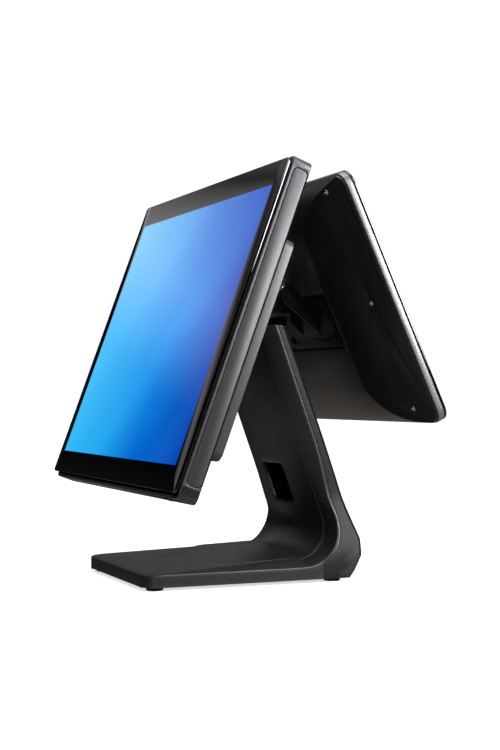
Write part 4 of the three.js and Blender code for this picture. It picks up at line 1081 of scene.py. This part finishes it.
def make_module():
    m, v = MODULE, VENT
    made = prism(rounded(-m.half, m.half, m.bottom, m.top, MODULE_RADIUS), m.front, m.back)
    half, floor = m.half - m.wall, m.back - m.wall
    inner = rounded(-half, half, m.bottom + m.wall, m.top - m.wall, MODULE_RADIUS - m.wall)
    hollow = prism(inner, m.front - OVERCUT, floor)
    ports = block(-PORT_HALF_WIDTH, PORT_HALF_WIDTH, m.front + 1, floor - 0.8,
                  m.bottom - OVERCUT, m.bottom + m.wall + OVERCUT)
    vents = []
    for index in range(v.count):
        x = (index - (v.count - 1) / 2) * v.pitch
        slit = rounded(x - v.half, x + v.half, v.bottom, v.top, v.radius, 4)
        vents.append(prism(slit, floor - OVERCUT, m.back + OVERCUT))
    cut(made, hollow, ports, *vents)
    return piece(made, "module_moulding", MAIN, [GRAINED], "module_housing", 0.8, 3, 40)


def make_power_button():
    b, f = POWER_BUTTON, BUTTON_FLANGE
    cap = prism(button_outline(0, b.radius), HOUSING.bottom - b.proud, b.inner, "z")
    flange = block(b.x - f.half, b.x + f.half, b.y - f.depth, b.y + f.depth,
                   f.bottom, f.top)
    combine(cap, [flange], "UNION")
    return piece(cap, "power_button_cap", BUTTON_UNIT, [BUTTON], "power_button", 0.35, 3, 40)


def build_main_head():
    make_touch_glass()
    make_housing()
    make_side_cover("left", -1)
    make_side_cover("right", 1)
    make_module()
    make_power_button()
    refine("main_glass_gasket", MAIN, RUBBER, 0.15)
    refine("io_port_block", MAIN, STEEL, 0.2)
    refine("head_hinge_plate", MAIN, BLACK_STEEL)
    tips = [(x, HEAD_SCREW_TIP, z) for x, z in HEAD_SCREWS]
    add_screws("head_screw", tips, PLATE_SCREW, MAIN, STEEL)
    refine("main_tilt_shaft", MAIN, CHROME, 0.5)
    for side in SIDES:
        refine(f"main_shaft_nut_{side}", MAIN, CHROME, 0.5, 40)


# ---- customer's head

def display_outline():
    half = DISPLAY_HALF_WIDTH
    return rounded(-half, half, 0, DISPLAY_HEIGHT, DISPLAY_RADIUS, DISPLAY_EDGE_STEPS)


def make_customer_glass():
    made = prism(display_outline(), 0, DISPLAY_GLASS)
    round_edges(made, 0.5, 2, 40)
    lay_out_screen(made, DISPLAY_SCREEN)
    return piece(made, "customer_glass_lit", CUSTOMER, [BORDER, WALLPAPER],
                 "customer_glass", 0)


def make_display_frame():
    half, w = DISPLAY_HALF_WIDTH, FRAME_WINDOW
    lip, radius, floor = FRAME_WELL.lip, FRAME_WELL.radius, FRAME_WELL.floor
    made = prism(display_outline(), DISPLAY_GLASS + GAP, DISPLAY_FRAME_BACK)
    well = prism(rounded(lip - half, half - lip, lip, DISPLAY_HEIGHT - lip, radius, 8), 1, floor)
    window = block(-w.half, w.half, 5, 10, w.bottom, w.top)
    cut(made, well, window)
    return piece(made, "display_band", CUSTOMER, [BAND],
                 "customer_bezel_frame", 0.6, 3, 40)


def shell_solid():
    """The shell's outer form: a ridge seen from the side, a flat-topped wedge seen from above."""
    back = DISPLAY_SHELL_BACK
    front = DISPLAY_FRAME_BACK + GAP
    rim = front + SHELL_RIM
    low, high = SHELL_MARGIN, DISPLAY_HEIGHT - SHELL_MARGIN
    half = DISPLAY_HALF_WIDTH - SHELL_SIDE_MARGIN
    flat = DISPLAY_FLAT
    side = [(front, low)]
    side += bezier((rim, low), (back - 4, 3.2), (back, flat.bottom), 22)
    side += bezier((back, flat.top), (back, 205.2), (rim, high), 22)
    side += [(front, high)]
    above = [(-half, front), (half, front), (half, rim), (flat.half, back), (-flat.half, back),
             (-half, rim)]
    made = prism(side, -half - OVERCUT, half + OVERCUT, "x")
    wedge = prism(above, -OVERCUT, DISPLAY_HEIGHT + OVERCUT, "z")
    outline = rounded(-half, half, low, high, DISPLAY_RADIUS - 0.5, DISPLAY_EDGE_STEPS)
    face = prism(outline, front - OVERCUT, back + OVERCUT)
    return combine(made, [wedge, face], "INTERSECT")


def make_display_shell():
    made = shell_solid()
    round_edges(made, SHELL_EDGE, 3, 11)
    r, o = DISPLAY_RECESS, DISPLAY_SLOT
    recess = prism(rounded(-r.half, r.half, r.bottom, r.top, 2.5, 5), r.floor, BEHIND)
    slot = prism(rounded(o.left, o.right, o.bottom, o.top, o.radius, 4), o.floor, BEHIND)
    seats = [screw_seat(SHELL_SEAT_RADIUS, x, SHELL_SCREW_SEAT, z) for x, z in SHELL_SCREWS]
    cut(made, recess, slot, *seats)
    return piece(made, "display_shell_moulding", CUSTOMER, [SHELL],
                 "customer_rear_shell", 0.35, 2, 50)


def build_customer_head():
    make_customer_glass()
    make_display_frame()
    make_display_shell()
    refine("customer_hinge_plate", CUSTOMER, BLACK_STEEL)
    tips = [(x, PLATE_SCREW_TIP, z) for x, z in PLATE_SCREWS]
    add_screws("plate_screw", tips, PLATE_SCREW, CUSTOMER, BLACK_STEEL)
    tips = [(x, SHELL_SCREW_SEAT + GAP - SHELL_SCREW[1], z) for x, z in SHELL_SCREWS]
    add_screws("shell_screw", tips, SHELL_SCREW, CUSTOMER, CHROME)
    refine("display_tilt_shaft", CUSTOMER, CHROME, 0.4)
    for side in SIDES:
        refine(f"display_shaft_nut_{side}", CUSTOMER, CHROME, 0.4, 40)


def finish_inner_nodes():
    """Procedural materials for the CAD nodes that stay as they are, inside the housings."""
    finishes = (
        (STEEL, ("ballast_plate", "main_chassis_plate")), (BOARD, ("main_board", "customer_driver_board")),
        (BORDER, ("main_lcd_panel", "customer_lcd_panel")), (ALUMINIUM, ("cpu_heatsink", "storage_drive")),
        (RUBBER, ("speaker_left", "speaker_right")),
    )
    for material, nodes in finishes:
        for node in nodes:
            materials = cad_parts[node].data.materials
            materials.clear()
            materials.append(material)


# ---- studio

def area_light(name, position, target, width, height, power, colour=(1, 1, 1)):
    light = bpy.data.lights.new(name, "AREA")
    light.shape = "RECTANGLE"
    light.size, light.size_y = width, height
    light.energy = power
    light.color = colour
    made = show(name, light)
    made.location = position
    made.rotation_mode = "QUATERNION"
    made.rotation_quaternion = (Vector(target) - Vector(position)).to_track_quat("-Z", "Y")
    made.visible_camera = False
    return made


def camera_only(made):
    """The object neither lights nor reflects in the terminal."""
    made.visible_diffuse = False
    made.visible_glossy = False
    made.visible_transmission = False
    made.visible_shadow = False


def glowing_paper(name, glow, paper):
    """White paper with an even glow of its own, so that it stays white away from the lights."""
    shader = Shader(name, Roughness=0.8, Specular_IOR_Level=0.1)
    shader.bsdf.inputs["Emission Color"].default_value = (1, 1, 1, 1)
    shader.bsdf.inputs["Emission Strength"].default_value = glow
    fibres = shader.noise(300, 2)
    shader.colour(shader.ramp(fibres, [(0.3, (paper, paper, paper)), (0.7, (paper + 0.02,) * 3)]))
    return shader.material


def add_stage(work, name, glow, paper):
    """A floor or backdrop in white paper that only the camera sees."""
    mesh = bpy.data.meshes.new(name)
    work.to_mesh(mesh)
    work.clear()
    mesh.materials.append(glowing_paper(f"{name}_paper", glow, paper))
    made = show(name, mesh)
    camera_only(made)


def build_floor_and_backdrop():
    work = bmesh.new()
    bmesh.ops.create_grid(work, x_segments=8, y_segments=8, size=12)
    add_stage(work, "floor", 0.66, 0.9)
    bmesh.ops.create_uvsphere(work, u_segments=32, v_segments=16, radius=11)
    add_stage(work, "backdrop", 1.05, 0.02)
    work.free()


def build_sky():
    """Soft light from above: dark at and under the horizon, pale overhead."""
    world = bpy.data.worlds.new("studio")
    bpy.context.scene.world = world
    world.use_nodes = True
    tree = world.node_tree
    place = tree.nodes.new("ShaderNodeTexCoord")
    split = tree.nodes.new("ShaderNodeSeparateXYZ")
    made = tree.nodes.new("ShaderNodeValToRGB")
    height = tree.nodes.new("ShaderNodeMapRange")
    height.inputs["From Min"].default_value = -1
    tree.links.new(place.outputs["Generated"], split.inputs["Vector"])
    tree.links.new(split.outputs["Z"], height.inputs["Value"])
    tree.links.new(height.outputs["Result"], made.inputs["Fac"])
    tree.links.new(made.outputs["Color"], tree.nodes["Background"].inputs["Color"])
    fill_ramp(made.color_ramp, [((elevation + 1) / 2, colour) for elevation, colour in SKY_STOPS])


def build_studio():
    build_floor_and_backdrop()
    build_sky()
    area_light("side_box", (0.76, 0.26, 0.68), (0.16, 0.03, 0.3), 0.46, 0.42, 3.5, (0.95, 0.96, 1))
    area_light("rear_strip", (0.76, 0.54, 0.40), (0.08, 0.09, 0.25), 0.24, 0.3, 8, (0.97, 0.98, 1))
    area_light("camera_fill", (1.3, -0.7, 0.12), (0, 0, 0.15), 0.6, 0.6, 1.6, (1, 0.97, 0.94))
    area_light("top", (0.1, -0.1, 1.6), (0, 0, 0.1), 1.0, 1.0, 10)


def build_camera():
    camera = bpy.data.cameras.new("photo_camera")
    camera.sensor_width = CAMERA_SENSOR
    camera.lens = CAMERA_LENS
    camera.clip_start = 0.01
    made = show("photo_camera", camera)
    made.location = CAMERA_POSITION
    yaw, rise = math.radians(CAMERA_YAW), math.radians(CAMERA_RISE)
    towards = Vector((-math.sin(yaw) * math.cos(rise), math.cos(yaw) * math.cos(rise), math.sin(rise)))
    made.rotation_mode = "QUATERNION"
    made.rotation_quaternion = towards.to_track_quat("-Z", "Y")
    bpy.context.scene.camera = made


build_stand()
build_main_head()
build_customer_head()
finish_inner_nodes()
build_studio()
build_camera()
bpy.context.scene.view_settings.view_transform = "Standard"
